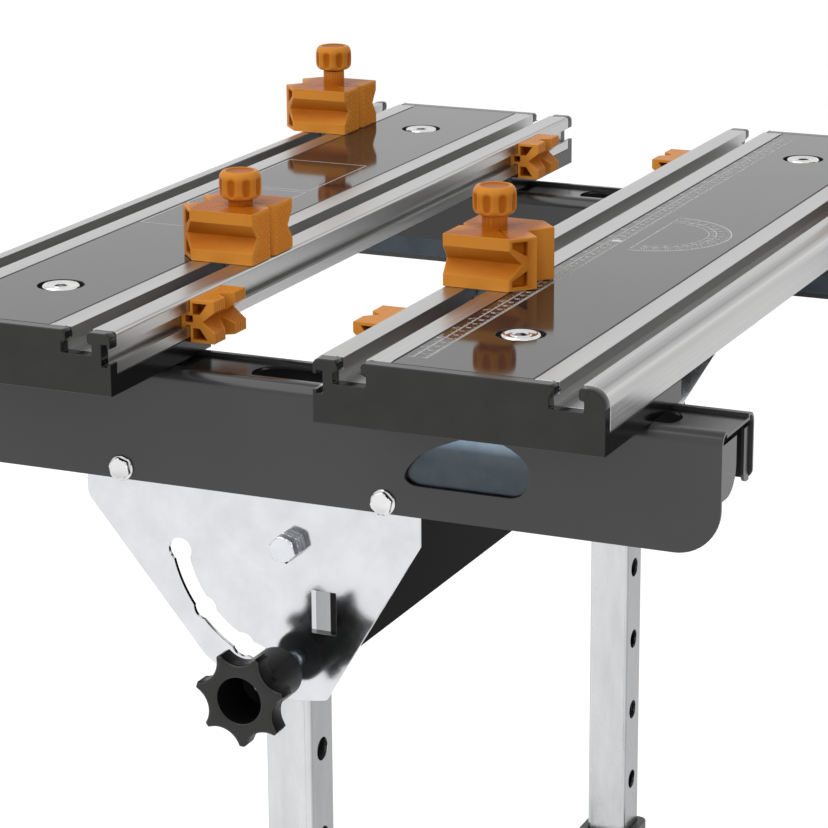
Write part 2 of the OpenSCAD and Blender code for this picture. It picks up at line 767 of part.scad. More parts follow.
// Beam between the legs, a hollow section with its lower edge set back
module beam_2d() difference() {
    union() {
        translate([-beam_t / 2, beam_foot_h - beam_h]) square([beam_t, beam_h - beam_foot_h]);
        translate([beam_setback - beam_t / 2, -beam_h]) square([beam_t - 2 * beam_setback, beam_h]);
    }
    translate([beam_wall - beam_t / 2, beam_foot_h - beam_h + beam_wall])
        square([beam_t - 2 * beam_wall, beam_h - beam_foot_h - 2 * beam_wall]);
    translate([beam_setback + beam_wall - beam_t / 2, beam_wall - beam_h])
        square([beam_t - 2 * (beam_setback + beam_wall), beam_foot_h]);
}

module beam() color([0.27, 0.27, 0.28]) translate([0, leg_y, beam_top])
    along_x(leg_x0 + leg_w, -2 * (leg_x0 + leg_w)) beam_2d();

// Outer post tube with its base plate and welded nut
module post() color([0.27, 0.27, 0.28]) translate([leg_x, leg_y, 0]) difference() {
    union() {
        square_tube(post_w, post_wall, post_corner_r, post_bottom, post_top);
        translate([-base_l / 2, -base_l / 2, post_bottom]) cube([base_l, base_l, base_t]);
        translate([0, 0, post_bottom]) cylinder(h = base_t + foot_head_t, r = foot_head_r, $fn = 6);
    }
    translate([0, 0, post_bottom - cut])
        cylinder(h = base_t + foot_head_t + 2 * cut, r = foot_bolt_r + run_clear);
    translate([0, -post_w / 2 + post_wall + cut, lock_hole_z]) rotate([90, 0, 0])
        cylinder(h = post_wall + 2 * cut, r = pin_r + loose_clear);
}

// Plastic collar on the post that guides the leg and carries the height lock
module post_collar() color([0.14, 0.14, 0.14]) translate([leg_x, leg_y, 0]) difference() {
    union() {
        translate([0, 0, post_top - collar_len + collar_lip]) linear_extrude(collar_len)
            rounded_2d(post_w + 2 * collar_wall, post_w + 2 * collar_wall, post_corner_r + collar_wall);
        translate([0, -post_w / 2, lock_hole_z]) rotate([90, 0, 0])
            cylinder(h = collar_wall + pin_boss_len, r = pin_boss_r);
    }
    translate([0, 0, post_top - collar_len - cut]) linear_extrude(collar_len + cut)
        square(post_w, center = true);
    translate([0, 0, post_top]) linear_extrude(2 * collar_lip)
        square(leg_w + 2 * loose_clear, center = true);
    translate([0, -post_w / 2 + cut, lock_hole_z]) rotate([90, 0, 0])
        cylinder(h = collar_wall + pin_boss_len + 2 * cut, r = pin_r + loose_clear);
}

// Height lock pin with its pull knob, drawn clear of the leg tube
module height_lock() color([0.14, 0.14, 0.14])
    translate([leg_x, leg_y - leg_w / 2 - loose_clear, lock_hole_z]) rotate([90, 0, 0]) {
        reach = (post_w - leg_w) / 2 + collar_wall + pin_boss_len + pin_nose + pin_travel;
        cylinder(h = reach, r = pin_r);
        translate([0, 0, reach - lap]) cylinder(h = pin_knob_len, r = pin_knob_r);
    }

// Foot bar with a bore for the swivel bolt through both walls
module foot_bar() color([0.27, 0.27, 0.28]) translate([leg_x, leg_y, 0]) difference() {
    translate([0, 0, foot_lift + foot_h / 2]) along_y(pad_wall - foot_len / 2, foot_len - 2 * pad_wall)
        tube_2d(foot_w, foot_h, foot_wall, foot_corner_r);
    translate([0, 0, foot_lift - cut]) cylinder(h = foot_h + 2 * cut, r = foot_bolt_r + run_clear);
}

// Rubber end of a foot bar, a cup that the bar slides into
module foot_pad() translate([leg_x, leg_y - foot_len / 2, 0]) difference() {
    translate([-foot_w / 2 - pad_wall, 0, 0]) cube([foot_w + 2 * pad_wall, pad_len, foot_lift + foot_h + pad_wall]);
    translate([-foot_w / 2, pad_wall, foot_lift]) cube([foot_w, pad_len, foot_h]);
}

module foot_pads() color([0.1, 0.1, 0.1]) {
    foot_pad();
    translate([0, 2 * leg_y, 0]) mirror([0, 1, 0]) foot_pad();
}

module foot_bolt() color([0.75, 0.75, 0.75]) translate([leg_x, leg_y, 0]) {
    translate([0, 0, foot_lift - slide_clear - foot_head_t])
        cylinder(h = foot_head_t, r = foot_head_r, $fn = 6);
    translate([0, 0, foot_lift - slide_clear - foot_head_t / 2])
        cylinder(h = foot_h + base_t + foot_head_t * 1.5, r = foot_bolt_r);
}

// Sliding plunger of the tilt lock: nose, shoulder, sleeve and shaft on one axis
module plunger() color([0.6, 0.64, 0.7]) at_pivot() translate([plate_x0 - loose_clear, lock_y, lock_z]) {
    rod_x(-shoulder_len, nose_len + loose_clear + plate_t, nose_r);
    rod_x(-shoulder_len, 0, shoulder_r);
    rod_x(-shoulder_len - sleeve_len, -shoulder_len, sleeve_r);
    rod_x(star_floor_x, -shoulder_len - sleeve_len / 2, shaft_r);
    rod_x(star_floor_x - nut_ring_t, star_floor_x - loose_clear, nut_ring_r);
    rod_x(star_floor_x - nut_ring_t - lap, star_floor_x + lap, shaft_r);
}

// Outline of the star knob
module star_2d() difference() {
    circle(star_r);
    for (k = [0 : star_lobes - 1]) rotate(k * 360 / star_lobes)
        translate([star_valley_r + star_scallop_r, 0]) circle(star_scallop_r);
}

// Star knob with a deep round recess, turning on the plunger's shaft
module star_knob() color([0.16, 0.16, 0.16]) at_pivot() translate([plate_x0 - loose_clear, lock_y, lock_z])
    difference() {
        union() {
            rod_x(hub_x0, hub_x0 + hub_len, hub_r);
            along_x(hub_x0 - star_t, star_t + lap) star_2d();
        }
        rod_x(hub_x0 - star_t - cut, star_floor_x, star_bore_r);
        rod_x(star_floor_x - cut, hub_x0 + hub_len + cut, shaft_r + run_clear);
    }

// Footprint of a clamp block: gap face on y = 0, chamfered corners and a notch at the back
module block_2d() polygon([
    [-block_l / 2, 0], [-face_groove_w / 2, 0], [0, face_groove_d], [face_groove_w / 2, 0],
    [block_l / 2, 0], [block_l / 2, block_w - block_chamfer[1]],
    [block_l / 2 - block_chamfer[0], block_w], [0, block_w - block_notch_d],
    [block_chamfer[0] - block_l / 2, block_w], [-block_l / 2, block_w - block_chamfer[1]]]);

// Groove along the end faces of a block
module block_groove() for (s = [0, 1]) mirror([s, 0, 0])
    translate([-block_l / 2, 0, block_h / 2]) along_y(-cut, block_w + 2 * cut)
        polygon([[-cut, groove_h / 2 + cut], [groove_d, 0], [-cut, -groove_h / 2 - cut]]);

// Two tapered pockets in each chamfered corner of a block
module block_pockets() for (s = [0, 1]) mirror([s, 0, 0])
    translate([-block_l / 2, block_w - block_chamfer[1], 0])
        rotate(atan2(block_chamfer[1], block_chamfer[0]))
            for (m = [0, 1]) translate([pocket_inset, -pocket_d, block_h / 2]) mirror([0, 0, m])
                translate([0, 0, block_h / 2 - pocket_inset]) rotate([-90, 0, 0])
                    linear_extrude(pocket_d + cut) polygon([
                        [0, 0], [pocket_l, 0], [pocket_l, pocket_h], [0, pocket_h * pocket_side_share]]);

// Block with its bore and collar, resting just above the rail
module block_body() translate([0, 0, slide_clear]) difference() {
    union() {
        translate([0, -slot_mid, 0]) difference() {
            linear_extrude(block_h) block_2d();
            block_groove();
            block_pockets();
        }
        cylinder(h = block_h + collar_h, r = collar_r);
    }
    translate([0, 0, -cut]) cylinder(h = block_h + collar_h + 2 * cut, r = screw_r + loose_clear);
}

// Nut that slides in the slot under a block
module slot_nut_body() difference() {
    union() {
        translate([-tnut_l / 2, -chamber_w / 2 + tnut_clear, -lip_t - chamber_h + tnut_clear])
            cube([tnut_l, chamber_w - 2 * tnut_clear, chamber_h - 2 * tnut_clear]);
        translate([-tnut_l / 2, -slot_w / 2 + tnut_clear, -lip_t - chamber_h / 2])
            cube([tnut_l, slot_w - 2 * tnut_clear, lip_t + chamber_h / 2 - slide_clear]);
    }
    translate([0, 0, -lip_t - chamber_h]) cylinder(h = lip_t + chamber_h + cut, r = screw_r + run_clear);
}

// Rounded knob profile turned about its axis, bottom on z = 0
module grip_profile() rotate_extrude() difference() {
    union() {
        square([grip_r - grip_edge_r, grip_h]);
        translate([0, grip_edge_r]) square([grip_r, grip_h - 2 * grip_edge_r]);
        for (z = [grip_edge_r, grip_h - grip_edge_r]) translate([grip_r - grip_edge_r, z]) circle(grip_edge_r);
    }
    translate([-grip_r, -cut]) square([grip_r, grip_h + 2 * cut]);
}

// Fluted knob with its screw; lift is the height of the knob above the block
module block_knob_body(lift) translate([0, 0, slide_clear + block_h + lift]) {
    difference() {
        grip_profile();
        for (k = [0 : grip_flutes - 1]) rotate((k + 0.5) * 360 / grip_flutes)
            translate([grip_r + grip_flute_r - grip_flute_d, 0, -cut])
                cylinder(h = grip_h + 2 * cut, r = grip_flute_r);
        translate([0, 0, -cut]) cylinder(h = grip_bore_d + cut, r = collar_r + 2 * loose_clear);
    }
    translate([0, 0, -block_h - lift - slide_clear - lip_t - chamber_h / 2])
        cylinder(h = block_h + lift + slide_clear + lip_t + chamber_h / 2 + grip_bore_d + lap, r = screw_r);
}

// Slot centre of the rail that holds block k: inner rail for the near ones, outer for the far ones
function block_y(k) = top_gap / 2 + (k % 2 == 0 ? slot_mid : top_w - slot_mid);

// Puts a piece on block place k; blocks 0 and 1 are on top a, 2 and 3 on top b
module at_block(k) mirror([0, k > 1 ? 1 : 0, 0]) translate([block_x[k], block_y(k), work_h]) children();

module block(k) color([0.78, 0.45, 0.12]) at_block(k) block_body();
module slot_nut(k) color([0.6, 0.62, 0.65]) at_block(k) slot_nut_body();
module block_knob(k) color([0.78, 0.45, 0.12]) at_block(k) block_knob_body(knob_gap[k]);

// Profile of a side jaw in (y, z), y into the gap is negative, z from the work surface
module jaw_2d() {
    difference() {
        translate([-jaw_t - jaw_clear, -side_mid - jaw_drop - jaw_h / 2]) square([jaw_t, jaw_h]);
        translate([-jaw_t - jaw_clear, -side_mid - jaw_drop]) polygon([
            [-cut, jaw_groove_w / 2 + cut], [jaw_groove_d, 0], [-cut, -jaw_groove_w / 2 - cut]]);
    }
    translate([-jaw_clear - lap, -side_mid - side_mouth_h / 2 + jaw_clear])
        square([side_lip_t + 2 * jaw_clear + lap, side_mouth_h - 2 * jaw_clear]);
    translate([side_lip_t + jaw_clear, -side_mid - side_chamber_h / 2 + 2 * jaw_clear])
        square([side_slot_depth - side_lip_t - 2 * jaw_clear, side_chamber_h - 4 * jaw_clear]);
}

// Pockets in one end of a jaw
module jaw_pockets_2d() {
    for (m = [0, 1]) translate([-jaw_clear - jaw_t, -side_mid - jaw_drop]) mirror([0, m]) polygon([
        [jaw_t - jaw_pocket_wall, jaw_h / 2 - jaw_pocket_wall],
        [2.5 * jaw_pocket_wall, jaw_h / 2 - jaw_pocket_wall],
        [jaw_t * 0.6, jaw_groove_w / 2 - jaw_pocket_wall],
        [jaw_t - jaw_pocket_wall, jaw_groove_w / 2 - jaw_pocket_wall]]);
    translate([-jaw_pocket_wall, -side_mid - jaw_pocket_wall]) square([2.5 * jaw_pocket_wall, 2 * jaw_pocket_wall]);
}

// Side jaw in the side slot of the inner rail
module jaw_body() difference() {
    along_x(-jaw_l / 2, jaw_l) jaw_2d();
    for (s = [0, 1]) mirror([s, 0, 0]) {
        along_x(-jaw_l / 2 - cut, jaw_pocket_d + cut) jaw_pockets_2d();
        for (k = [0 : ribs - 1]) translate([
            -jaw_l / 2 + rib_pitch * (k + 1), -jaw_clear - jaw_t - cut, -side_mid - jaw_drop - jaw_h / 2 - cut])
            cube([rib_w, rib_d + cut, jaw_h + 2 * cut]);
    }
    translate([0, -jaw_t - jaw_clear, -side_mid - jaw_drop - jaw_h / 2 - cut]) linear_extrude(jaw_h + 2 * cut)
        polygon([[-jaw_groove_w / 2 - cut, -cut], [0, jaw_groove_d], [jaw_groove_w / 2 + cut, -cut]]);
}

module jaw(k) color([0.78, 0.45, 0.12])
    mirror([0, k > 1 ? 1 : 0, 0]) at_top() translate([jaw_x[k], 0, 0]) jaw_body();

beam();
leg();  // leg_near
far() leg();  // leg_far
leg_plugs();
post();  // post_near
far() post();  // post_far
post_collar();  // post_collar_near
far() post_collar();  // post_collar_far
height_lock();  // height_lock_near
far() height_lock();  // height_lock_far
foot_bar();  // foot_bar_near
far() foot_bar();  // foot_bar_far
foot_pads();  // foot_pads_near
far() foot_pads();  // foot_pads_far
foot_bolt();  // foot_bolt_near
far() foot_bolt();  // foot_bolt_far
channel();  // channel_near
far() channel();  // channel_far
tilt_plate();  // tilt_plate_near
far() tilt_plate();  // tilt_plate_far
plate_bolts();
pivot_bolts();
plunger();  // plunger_near
far() plunger();  // plunger_far
star_knob();  // star_knob_near
far() star_knob();  // star_knob_far
rail_outer();  // rail_a_outer
rail_inner();  // rail_a_inner
panel();  // panel_a
cap();  // cap_a_near
far() cap();  // cap_a_far
side_b() rail_inner();  // rail_b_inner
side_b() rail_outer();  // rail_b_outer
side_b() panel();  // panel_b
side_b() cap();  // cap_b_near
side_b() far() cap();  // cap_b_far
clamp_screw(1);  // clamp_screw_a_near
clamp_screw(-1);  // clamp_screw_a_far
side_b() clamp_screw(1);  // clamp_screw_b_near
side_b() clamp_screw(-1);  // clamp_screw_b_far
saddles();  // saddles_a
side_b() saddles();  // saddles_b
block(0);  // block_a_near
block(1);  // block_a_far
block(2);  // block_b_near
block(3);  // block_b_far
slot_nut(0);  // slot_nut_a_near
slot_nut(1);  // slot_nut_a_far
slot_nut(2);  // slot_nut_b_near
slot_nut(3);  // slot_nut_b_far
block_knob(0);  // block_knob_a_near
block_knob(1);  // block_knob_a_far
block_knob(2);  // block_knob_b_near
block_knob(3);  // block_knob_b_far
jaw(0);  // jaw_a_near
jaw(1);  // jaw_a_far
jaw(2);  // jaw_b_near
jaw(3);  // jaw_b_far
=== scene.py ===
"""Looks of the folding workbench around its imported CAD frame.

Lengths are millimetres until a mesh is made. X runs along the tops, Y across them, Z up.
"""
import json
import math

import bpy
from mathutils import Matrix, Vector


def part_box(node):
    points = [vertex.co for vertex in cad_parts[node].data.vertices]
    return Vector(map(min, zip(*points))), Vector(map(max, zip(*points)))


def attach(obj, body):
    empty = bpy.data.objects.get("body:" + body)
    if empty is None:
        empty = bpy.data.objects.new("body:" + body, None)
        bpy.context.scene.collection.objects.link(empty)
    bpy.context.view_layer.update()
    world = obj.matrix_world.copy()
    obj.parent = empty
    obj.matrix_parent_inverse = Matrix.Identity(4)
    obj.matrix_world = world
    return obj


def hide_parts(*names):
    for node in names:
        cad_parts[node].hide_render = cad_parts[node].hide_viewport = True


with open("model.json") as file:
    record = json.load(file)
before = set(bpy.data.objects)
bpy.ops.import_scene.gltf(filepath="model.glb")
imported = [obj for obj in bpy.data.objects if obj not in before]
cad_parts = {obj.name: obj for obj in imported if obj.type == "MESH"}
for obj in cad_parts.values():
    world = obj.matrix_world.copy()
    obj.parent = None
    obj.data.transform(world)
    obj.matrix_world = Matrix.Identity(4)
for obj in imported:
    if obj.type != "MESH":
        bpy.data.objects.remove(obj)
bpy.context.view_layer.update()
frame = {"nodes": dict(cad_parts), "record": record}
NODES = frame["nodes"]

MM = 0.001
TAU = 2 * math.pi
SIXTH = TAU / 6
X, Y, Z = range(3)
ENDS = {"near": -1, "far": 1}
TOPS = {"a": 1, "b": -1}


# Camera, solved from the straight edges of the tops in the photograph
IMAGE_PX = 828
FOCAL_PX = 3081.31
SENSOR_W = 36
CLIP_END = 60
CAMERA_AT = (-2.03284, -0.87467, 1.39397)
CAMERA_RIGHT = Vector((0.4091519, -0.9124470, -0.0059386))
CAMERA_DOWN = Vector((-0.2575993, -0.1092621, -0.9600544))
CAMERA_FORWARD = Vector((0.8753498, 0.3943379, -0.2797505))


def add_camera():
    data = bpy.data.cameras.new("camera")
    data.sensor_width = SENSOR_W
    data.lens = FOCAL_PX / IMAGE_PX * SENSOR_W
    data.clip_end = CLIP_END
    cam = bpy.data.objects.new("camera", data)
    turn = Matrix((CAMERA_RIGHT, -CAMERA_DOWN, -CAMERA_FORWARD)).transposed()
    cam.matrix_world = Matrix.Translation(CAMERA_AT) @ turn.to_4x4()
    bpy.context.scene.collection.objects.link(cam)
    bpy.context.scene.camera = cam


# Materials
class Shader:
    """A Principled material and short calls for the nodes that feed it."""

    def __init__(self, name, **values):
        self.mat = bpy.data.materials.new(name)
        self.mat.use_nodes = True
        self.tree = self.mat.node_tree
        self.bsdf = self.tree.nodes["Principled BSDF"]
        for key, value in values.items():
            self.bsdf.inputs[key.replace("_", " ")].default_value = value
        source = self.add("ShaderNodeTexCoord")
        self.coords = source.outputs["Object"]
        self.normal = source.outputs["Normal"]

    def add(self, kind, **props):
        node = self.tree.nodes.new(kind)
        for key, value in props.items():
            setattr(node, key, value)
        return node

    def link(self, a, b):
        self.tree.links.new(a, b)

    def scaled(self, scale):
        node = self.add("ShaderNodeMapping")
        node.inputs["Scale"].default_value = scale
        self.link(self.coords, node.inputs["Vector"])
        return node.outputs["Vector"]

    def noise(self, stretch, scale, detail=3.0, rough=0.5):
        node = self.add("ShaderNodeTexNoise")
        node.inputs["Scale"].default_value = scale
        node.inputs["Detail"].default_value = detail
        node.inputs["Roughness"].default_value = rough
        self.link(self.scaled(stretch), node.inputs["Vector"])
        return node.outputs["Fac"]

    def spread(self, value, low, high, start=0.3, end=0.7):
        """Maps start..end of a value to low..high."""
        node = self.add("ShaderNodeMapRange")
        self.link(value, node.inputs["Value"])
        for key, number in (("From Min", start), ("From Max", end), ("To Min", low), ("To Max", high)):
            node.inputs[key].default_value = number
        return node.outputs["Result"]

    def math(self, op, a, b):
        node = self.add("ShaderNodeMath", operation=op)
        for socket, value in zip(node.inputs, (a, b)):
            if isinstance(value, (int, float)):
                socket.default_value = value
            else:
                self.link(value, socket)
        return node.outputs["Value"]

    def mixed(self, a, b, share):
        """Sum of a and b, with the given share of b."""
        return self.math("ADD", self.math("MULTIPLY", a, 1 - share), self.math("MULTIPLY", b, share))

    def color(self, value, low, high, start=0.3, end=0.7):
        """Feeds a two-colour ramp to the base colour."""
        output = self.ramp(value, [(start, low), (end, high)])
        self.link(output, self.bsdf.inputs["Base Color"])
        return output

    def axis(self, vector, letter):
        node = self.add("ShaderNodeSeparateXYZ")
        self.link(vector, node.inputs["Vector"])
        return node.outputs[letter]

    def facing(self, letter):
        """How far the surface faces along an axis of the object, 0 to 1."""
        return self.math("ABSOLUTE", self.axis(self.normal, letter), 0.0)

    def ramp(self, value, stops):
        node = self.add("ShaderNodeValToRGB")
        elements = node.color_ramp.elements
        while len(elements) < len(stops):
            elements.new(0.5)
        for element, (position, color) in zip(elements, stops):
            element.position = position
            element.color = (*color, 1)
        self.link(value, node.inputs["Fac"])
        return node.outputs["Color"]

    def greys(self, value, stops):
        return self.ramp(value, [(position, (level, level, level)) for position, level in stops])

    def blend(self, kind, a, b, factor=1.0):
        """Blends two colours and feeds the result to the base colour."""
        node = self.add("ShaderNodeMix", data_type="RGBA", blend_type=kind)
        if isinstance(factor, float):
            node.inputs[0].default_value = factor
        else:
            self.link(factor, node.inputs[0])
        for socket, value in ((node.inputs[6], a), (node.inputs[7], b)):
            if isinstance(value, tuple):
                socket.default_value = (*value, 1)
            else:
                self.link(value, socket)
        self.link(node.outputs[2], self.bsdf.inputs["Base Color"])

    def edges(self, low=0.502, high=0.525):
        """1 on outer edges, where wear and a painted highlight lighten them, 0 elsewhere."""
        value = self.add("ShaderNodeNewGeometry").outputs["Pointiness"]
        return self.spread(value, 0.0, 1.0, low, high)

    def rough(self, value, low, high, start=0.3, end=0.7):
        self.link(self.spread(value, low, high, start, end), self.bsdf.inputs["Roughness"])

    def bump(self, value, depth, strength):
        node = self.add("ShaderNodeBump")
        node.inputs["Distance"].default_value = depth
        node.inputs["Strength"].default_value = strength
        self.link(value, node.inputs["Height"])
        self.link(node.outputs["Normal"], self.bsdf.inputs["Normal"])


EVEN = (1, 1, 1)


def shade(color, factor):
    return tuple(min(1.0, c * factor) for c in color)


def make_aluminium():
    """Brushed along X, with a painted reflection: a light and a dark band on the rounded shoulders."""
    s = Shader("aluminium", Metallic=1.0)
    grain = s.noise((1.5, 1100, 1100), scale=1.0, detail=4)
    wide = s.noise((0.6, 90, 90), scale=1.0, detail=2)
    mix = s.mixed(grain, wide, share=0.4)
    tone = s.color(mix, (0.43, 0.43, 0.428), (0.53, 0.53, 0.526), 0.35, 0.65)
    # Painted reflection: bands lighter and darker by how far the surface faces up
    painted_reflection_bands = [(0.0, 1), (0.25, 1), (0.55, 1.28), (0.80, 0.68), (0.93, 0.84), (1.0, 1)]
    s.blend("MULTIPLY", tone, s.greys(s.facing("Z"), painted_reflection_bands))
    s.rough(mix, 0.28, 0.40, 0.35, 0.65)
    s.bump(grain, depth=0.00004, strength=0.35)
    return s.mat


def make_panel():
    """Glossy dark laminate."""
    s = Shader("panel", IOR=1.40)
    fine = s.noise(EVEN, scale=900, detail=2)
    cloud = s.noise(EVEN, scale=12)
    s.color(cloud, (0.022, 0.022, 0.0215), (0.029, 0.029, 0.028))
    s.rough(cloud, 0.05, 0.09)
    s.bump(fine, depth=0.00001, strength=0.12)
    return s.mat


def make_plastic(name, color, rough, grain=700, depth=0.00003, gloss=0.5):
    s = Shader(name, IOR=1.48, Specular_IOR_Level=gloss)
    fine = s.noise(EVEN, scale=grain)
    cloud = s.noise(EVEN, scale=45, detail=4)
    s.color(cloud, shade(color, 0.92), shade(color, 1.07))
    s.rough(fine, *rough)
    s.bump(fine, depth, strength=0.5)
    return s.mat


def make_cap():
    """Satin end faces; glossier sides with painted shade that darkens them."""
    s = Shader("cap_plastic", IOR=1.48, Specular_IOR_Level=0.3)
    fine = s.noise(EVEN, scale=700)
    cloud = s.noise(EVEN, scale=45, detail=4)
    end = s.facing("X")
    tone = s.color(cloud, (0.019, 0.019, 0.018), (0.025, 0.025, 0.024))
    # Painted shade: faces that don't face the ends are darkened
    s.blend("MULTIPLY", tone, s.greys(end, [(0.55, 0.22), (0.97, 1)]))
    s.rough(s.mixed(end, fine, share=0.15), 0.14, 0.46, 0.1, 0.95)
    s.bump(fine, depth=0.00003, strength=0.4)
    return s.mat


def make_orange():
    """Moulded orange plastic with flow marks and lighter edges: wear and a painted highlight."""
    s = Shader("orange_plastic", IOR=1.45, Specular_IOR_Level=0.03)
    fine = s.noise(EVEN, scale=850)
    flow = s.noise((30, 30, 120), scale=1.0, detail=5, rough=0.6)
    tone = s.color(flow, (0.40, 0.107, 0.006), (0.49, 0.137, 0.010))
    # Lighter edges: wear and a painted highlight
    s.blend("MIX", tone, (0.70, 0.27, 0.04), s.edges())
    s.rough(fine, 0.20, 0.30)
    s.bump(fine, depth=0.00002, strength=0.15)
    return s.mat


def make_paint(name, low, high, gloss=0.5):
    """Dark paint with a fine orange peel, and painted shade where it doesn't face the ends."""
    s = Shader(name, IOR=1.5, Specular_IOR_Level=gloss)
    peel = s.noise(EVEN, scale=420, detail=2)
    cloud = s.noise(EVEN, scale=9)
    tone = s.color(cloud, low, high)
    # Painted shade on faces that don't face the ends
    s.blend("MULTIPLY", tone, s.greys(s.facing("X"), [(0.45, 0.3), (0.95, 1)]))
    s.rough(cloud, 0.16, 0.24)
    s.bump(peel, depth=0.00003, strength=0.25)
    return s.mat


def make_zinc(name, low, high, rough, streak=EVEN, side_shade=None, height=None, grain=0.2):
    """Zinc plating; sides is painted shade on what faces along Y, height is a span in metres and the colours
    of painted shade along it.
    """
    s = Shader(name, Metallic=1.0)
    patch = s.noise(streak, scale=40, detail=5, rough=0.62)
    fine = s.noise(streak, scale=420)
    tone = s.color(patch, low, high, 0.35, 0.66)
    if side_shade:
        # Painted shade on the faces along Y
        s.blend("MULTIPLY", tone, s.greys(s.facing("Y"), [(0.4, 1), (0.9, side_shade)]))
    if height:
        # Painted shade by height within the span
        (bottom, top), stops = height
        level = s.spread(s.axis(s.coords, "Z"), 0.0, 1.0, bottom, top)
        s.blend("MULTIPLY", tone, s.ramp(level, stops))
    s.rough(patch, *rough, 0.35, 0.66)
    s.bump(s.mixed(patch, fine, share=grain), depth=0.00012, strength=0.25)
    return s.mat


def make_ink():
    s = Shader("white_print", IOR=1.45)
    wear = s.noise(EVEN, scale=350, detail=4)
    s.color(wear, (0.62, 0.62, 0.61), (0.80, 0.80, 0.79))
    s.rough(wear, 0.25, 0.4)
    return s.mat


def make_saddle_zinc():
    """Blue zinc with painted shade that darkens it towards the bottom of the saddles, as seen through the
    wall.
    """
    # Painted shade: dark at the bottom of the span, the zinc's own colour at the top
    saddle_shade_tones = [(0.0, (0.16, 0.16, 0.16)), (0.36, (0.22, 0.22, 0.22)), (0.60, (0.60, 0.64, 0.68)), (1.0, EVEN)]
    span = (0.818, 0.842)
    return make_zinc("saddle_zinc_painted_shade", (0.28, 0.35, 0.42), (0.40, 0.48, 0.55), (0.24, 0.36),
                     height=(span, saddle_shade_tones), grain=0.5)


MATS = {
    "aluminium": make_aluminium(),
    "panel": make_panel(),
    "cap_plastic": make_cap(),
    "bright_steel": make_zinc("bright_steel", (0.62, 0.62, 0.62), (0.74, 0.74, 0.73), (0.10, 0.18)),
    "zinc_blue": make_zinc("zinc_blue", (0.40, 0.45, 0.52), (0.52, 0.57, 0.63), (0.18, 0.30)),
    "dark_paint": make_paint("dark_paint", (0.032, 0.032, 0.034), (0.041, 0.041, 0.043)),
    "bright_zinc": make_zinc("bright_zinc", (0.57, 0.58, 0.60), (0.64, 0.65, 0.67), (0.09, 0.15), grain=0.45),
    # Painted shade darkens the tube sides that face along Y
    "tube_zinc": make_zinc("tube_zinc", (0.50, 0.51, 0.52), (0.62, 0.63, 0.64), (0.20, 0.32),
                           streak=(1, 1, 0.25), side_shade=0.58),
    "black_plastic": make_plastic("black_plastic", (0.014, 0.014, 0.013), (0.30, 0.42)),
    "rubber": make_plastic("rubber", (0.022, 0.022, 0.022), (0.62, 0.78), grain=300, depth=0.00008),
    "orange_plastic": make_orange(),
}
INK = make_ink()
STAR_BLACK = make_plastic("star_black", (0.022, 0.022, 0.021), (0.26, 0.34), 600, 0.00002, gloss=0.3)
# Darker copy of the star's plastic for its sides: painted shade
STAR_SHADED_SIDE = make_plastic("star_side_painted_shade", (0.006, 0.006, 0.006), (0.18, 0.26), 600, 0.00001, gloss=0.03)
HEX_ZINC = make_zinc("hex_zinc", (0.58, 0.60, 0.63), (0.68, 0.70, 0.73), (0.10, 0.18))
# Darker copy of the zinc for the bolt sides: painted shade
HEX_SHADED_SIDE = make_zinc("hex_side_painted_shade", (0.10, 0.105, 0.115), (0.30, 0.31, 0.33), (0.14, 0.24))
BEAM_PAINT = make_paint("beam_paint", (0.012, 0.012, 0.013), (0.016, 0.016, 0.017), gloss=0.01)
# Near-black strips over the panel joints: painted shade of the gap
GAP_SHADE = make_plastic("gap_shade", (0.008, 0.008, 0.008), (0.45, 0.6), gloss=0.2)
SADDLE_SHADED_ZINC = make_saddle_zinc()
NODE_MATS = {"beam": BEAM_PAINT, "saddles_a": SADDLE_SHADED_ZINC, "saddles_b": SADDLE_SHADED_ZINC}


# CAD nodes that stay: their material and softened edges
SLOT_OF = {row["node"]: row["material_slot"] for row in frame["record"]["subparts"]}
EDGE = {
    "aluminium": 0.35, "panel": 0.35, "cap_plastic": 0.9, "dark_paint": 0.45, "bright_zinc": 0.3,
    "tube_zinc": 0.35, "black_plastic": 0.9, "rubber": 1.6, "orange_plastic": 0.8, "zinc_blue": 0.3,
    "bright_steel": 0.3,
}
JAW_EDGE = 0.35
EDGE_SEGMENTS = 3
EDGE_ANGLE = 28
WELD_M = 0.00001
# Moulded pieces take the full width; on the others long thin faces would tear
FULL_WIDTH = ("cap_plastic", "orange_plastic")


def soften(obj, width, full):
    weld = obj.modifiers.new("weld", "WELD")
    weld.merge_threshold = WELD_M
    bevel = obj.modifiers.new("bevel", "BEVEL")
    bevel.width = width * MM
    bevel.segments = EDGE_SEGMENTS
    bevel.limit_method = "ANGLE"
    bevel.angle_limit = math.radians(EDGE_ANGLE)
    bevel.harden_normals = True
    bevel.use_clamp_overlap = not full


def dress_nodes():
    for name, obj in NODES.items():
        slot = SLOT_OF[name]
        for entry in obj.material_slots:
            entry.material = NODE_MATS.get(name, MATS[slot])
        width = JAW_EDGE if name.startswith("jaw") else EDGE[slot]
        soften(obj, width, slot in FULL_WIDTH)


# Mesh helpers
SHARP_ANGLE = 32


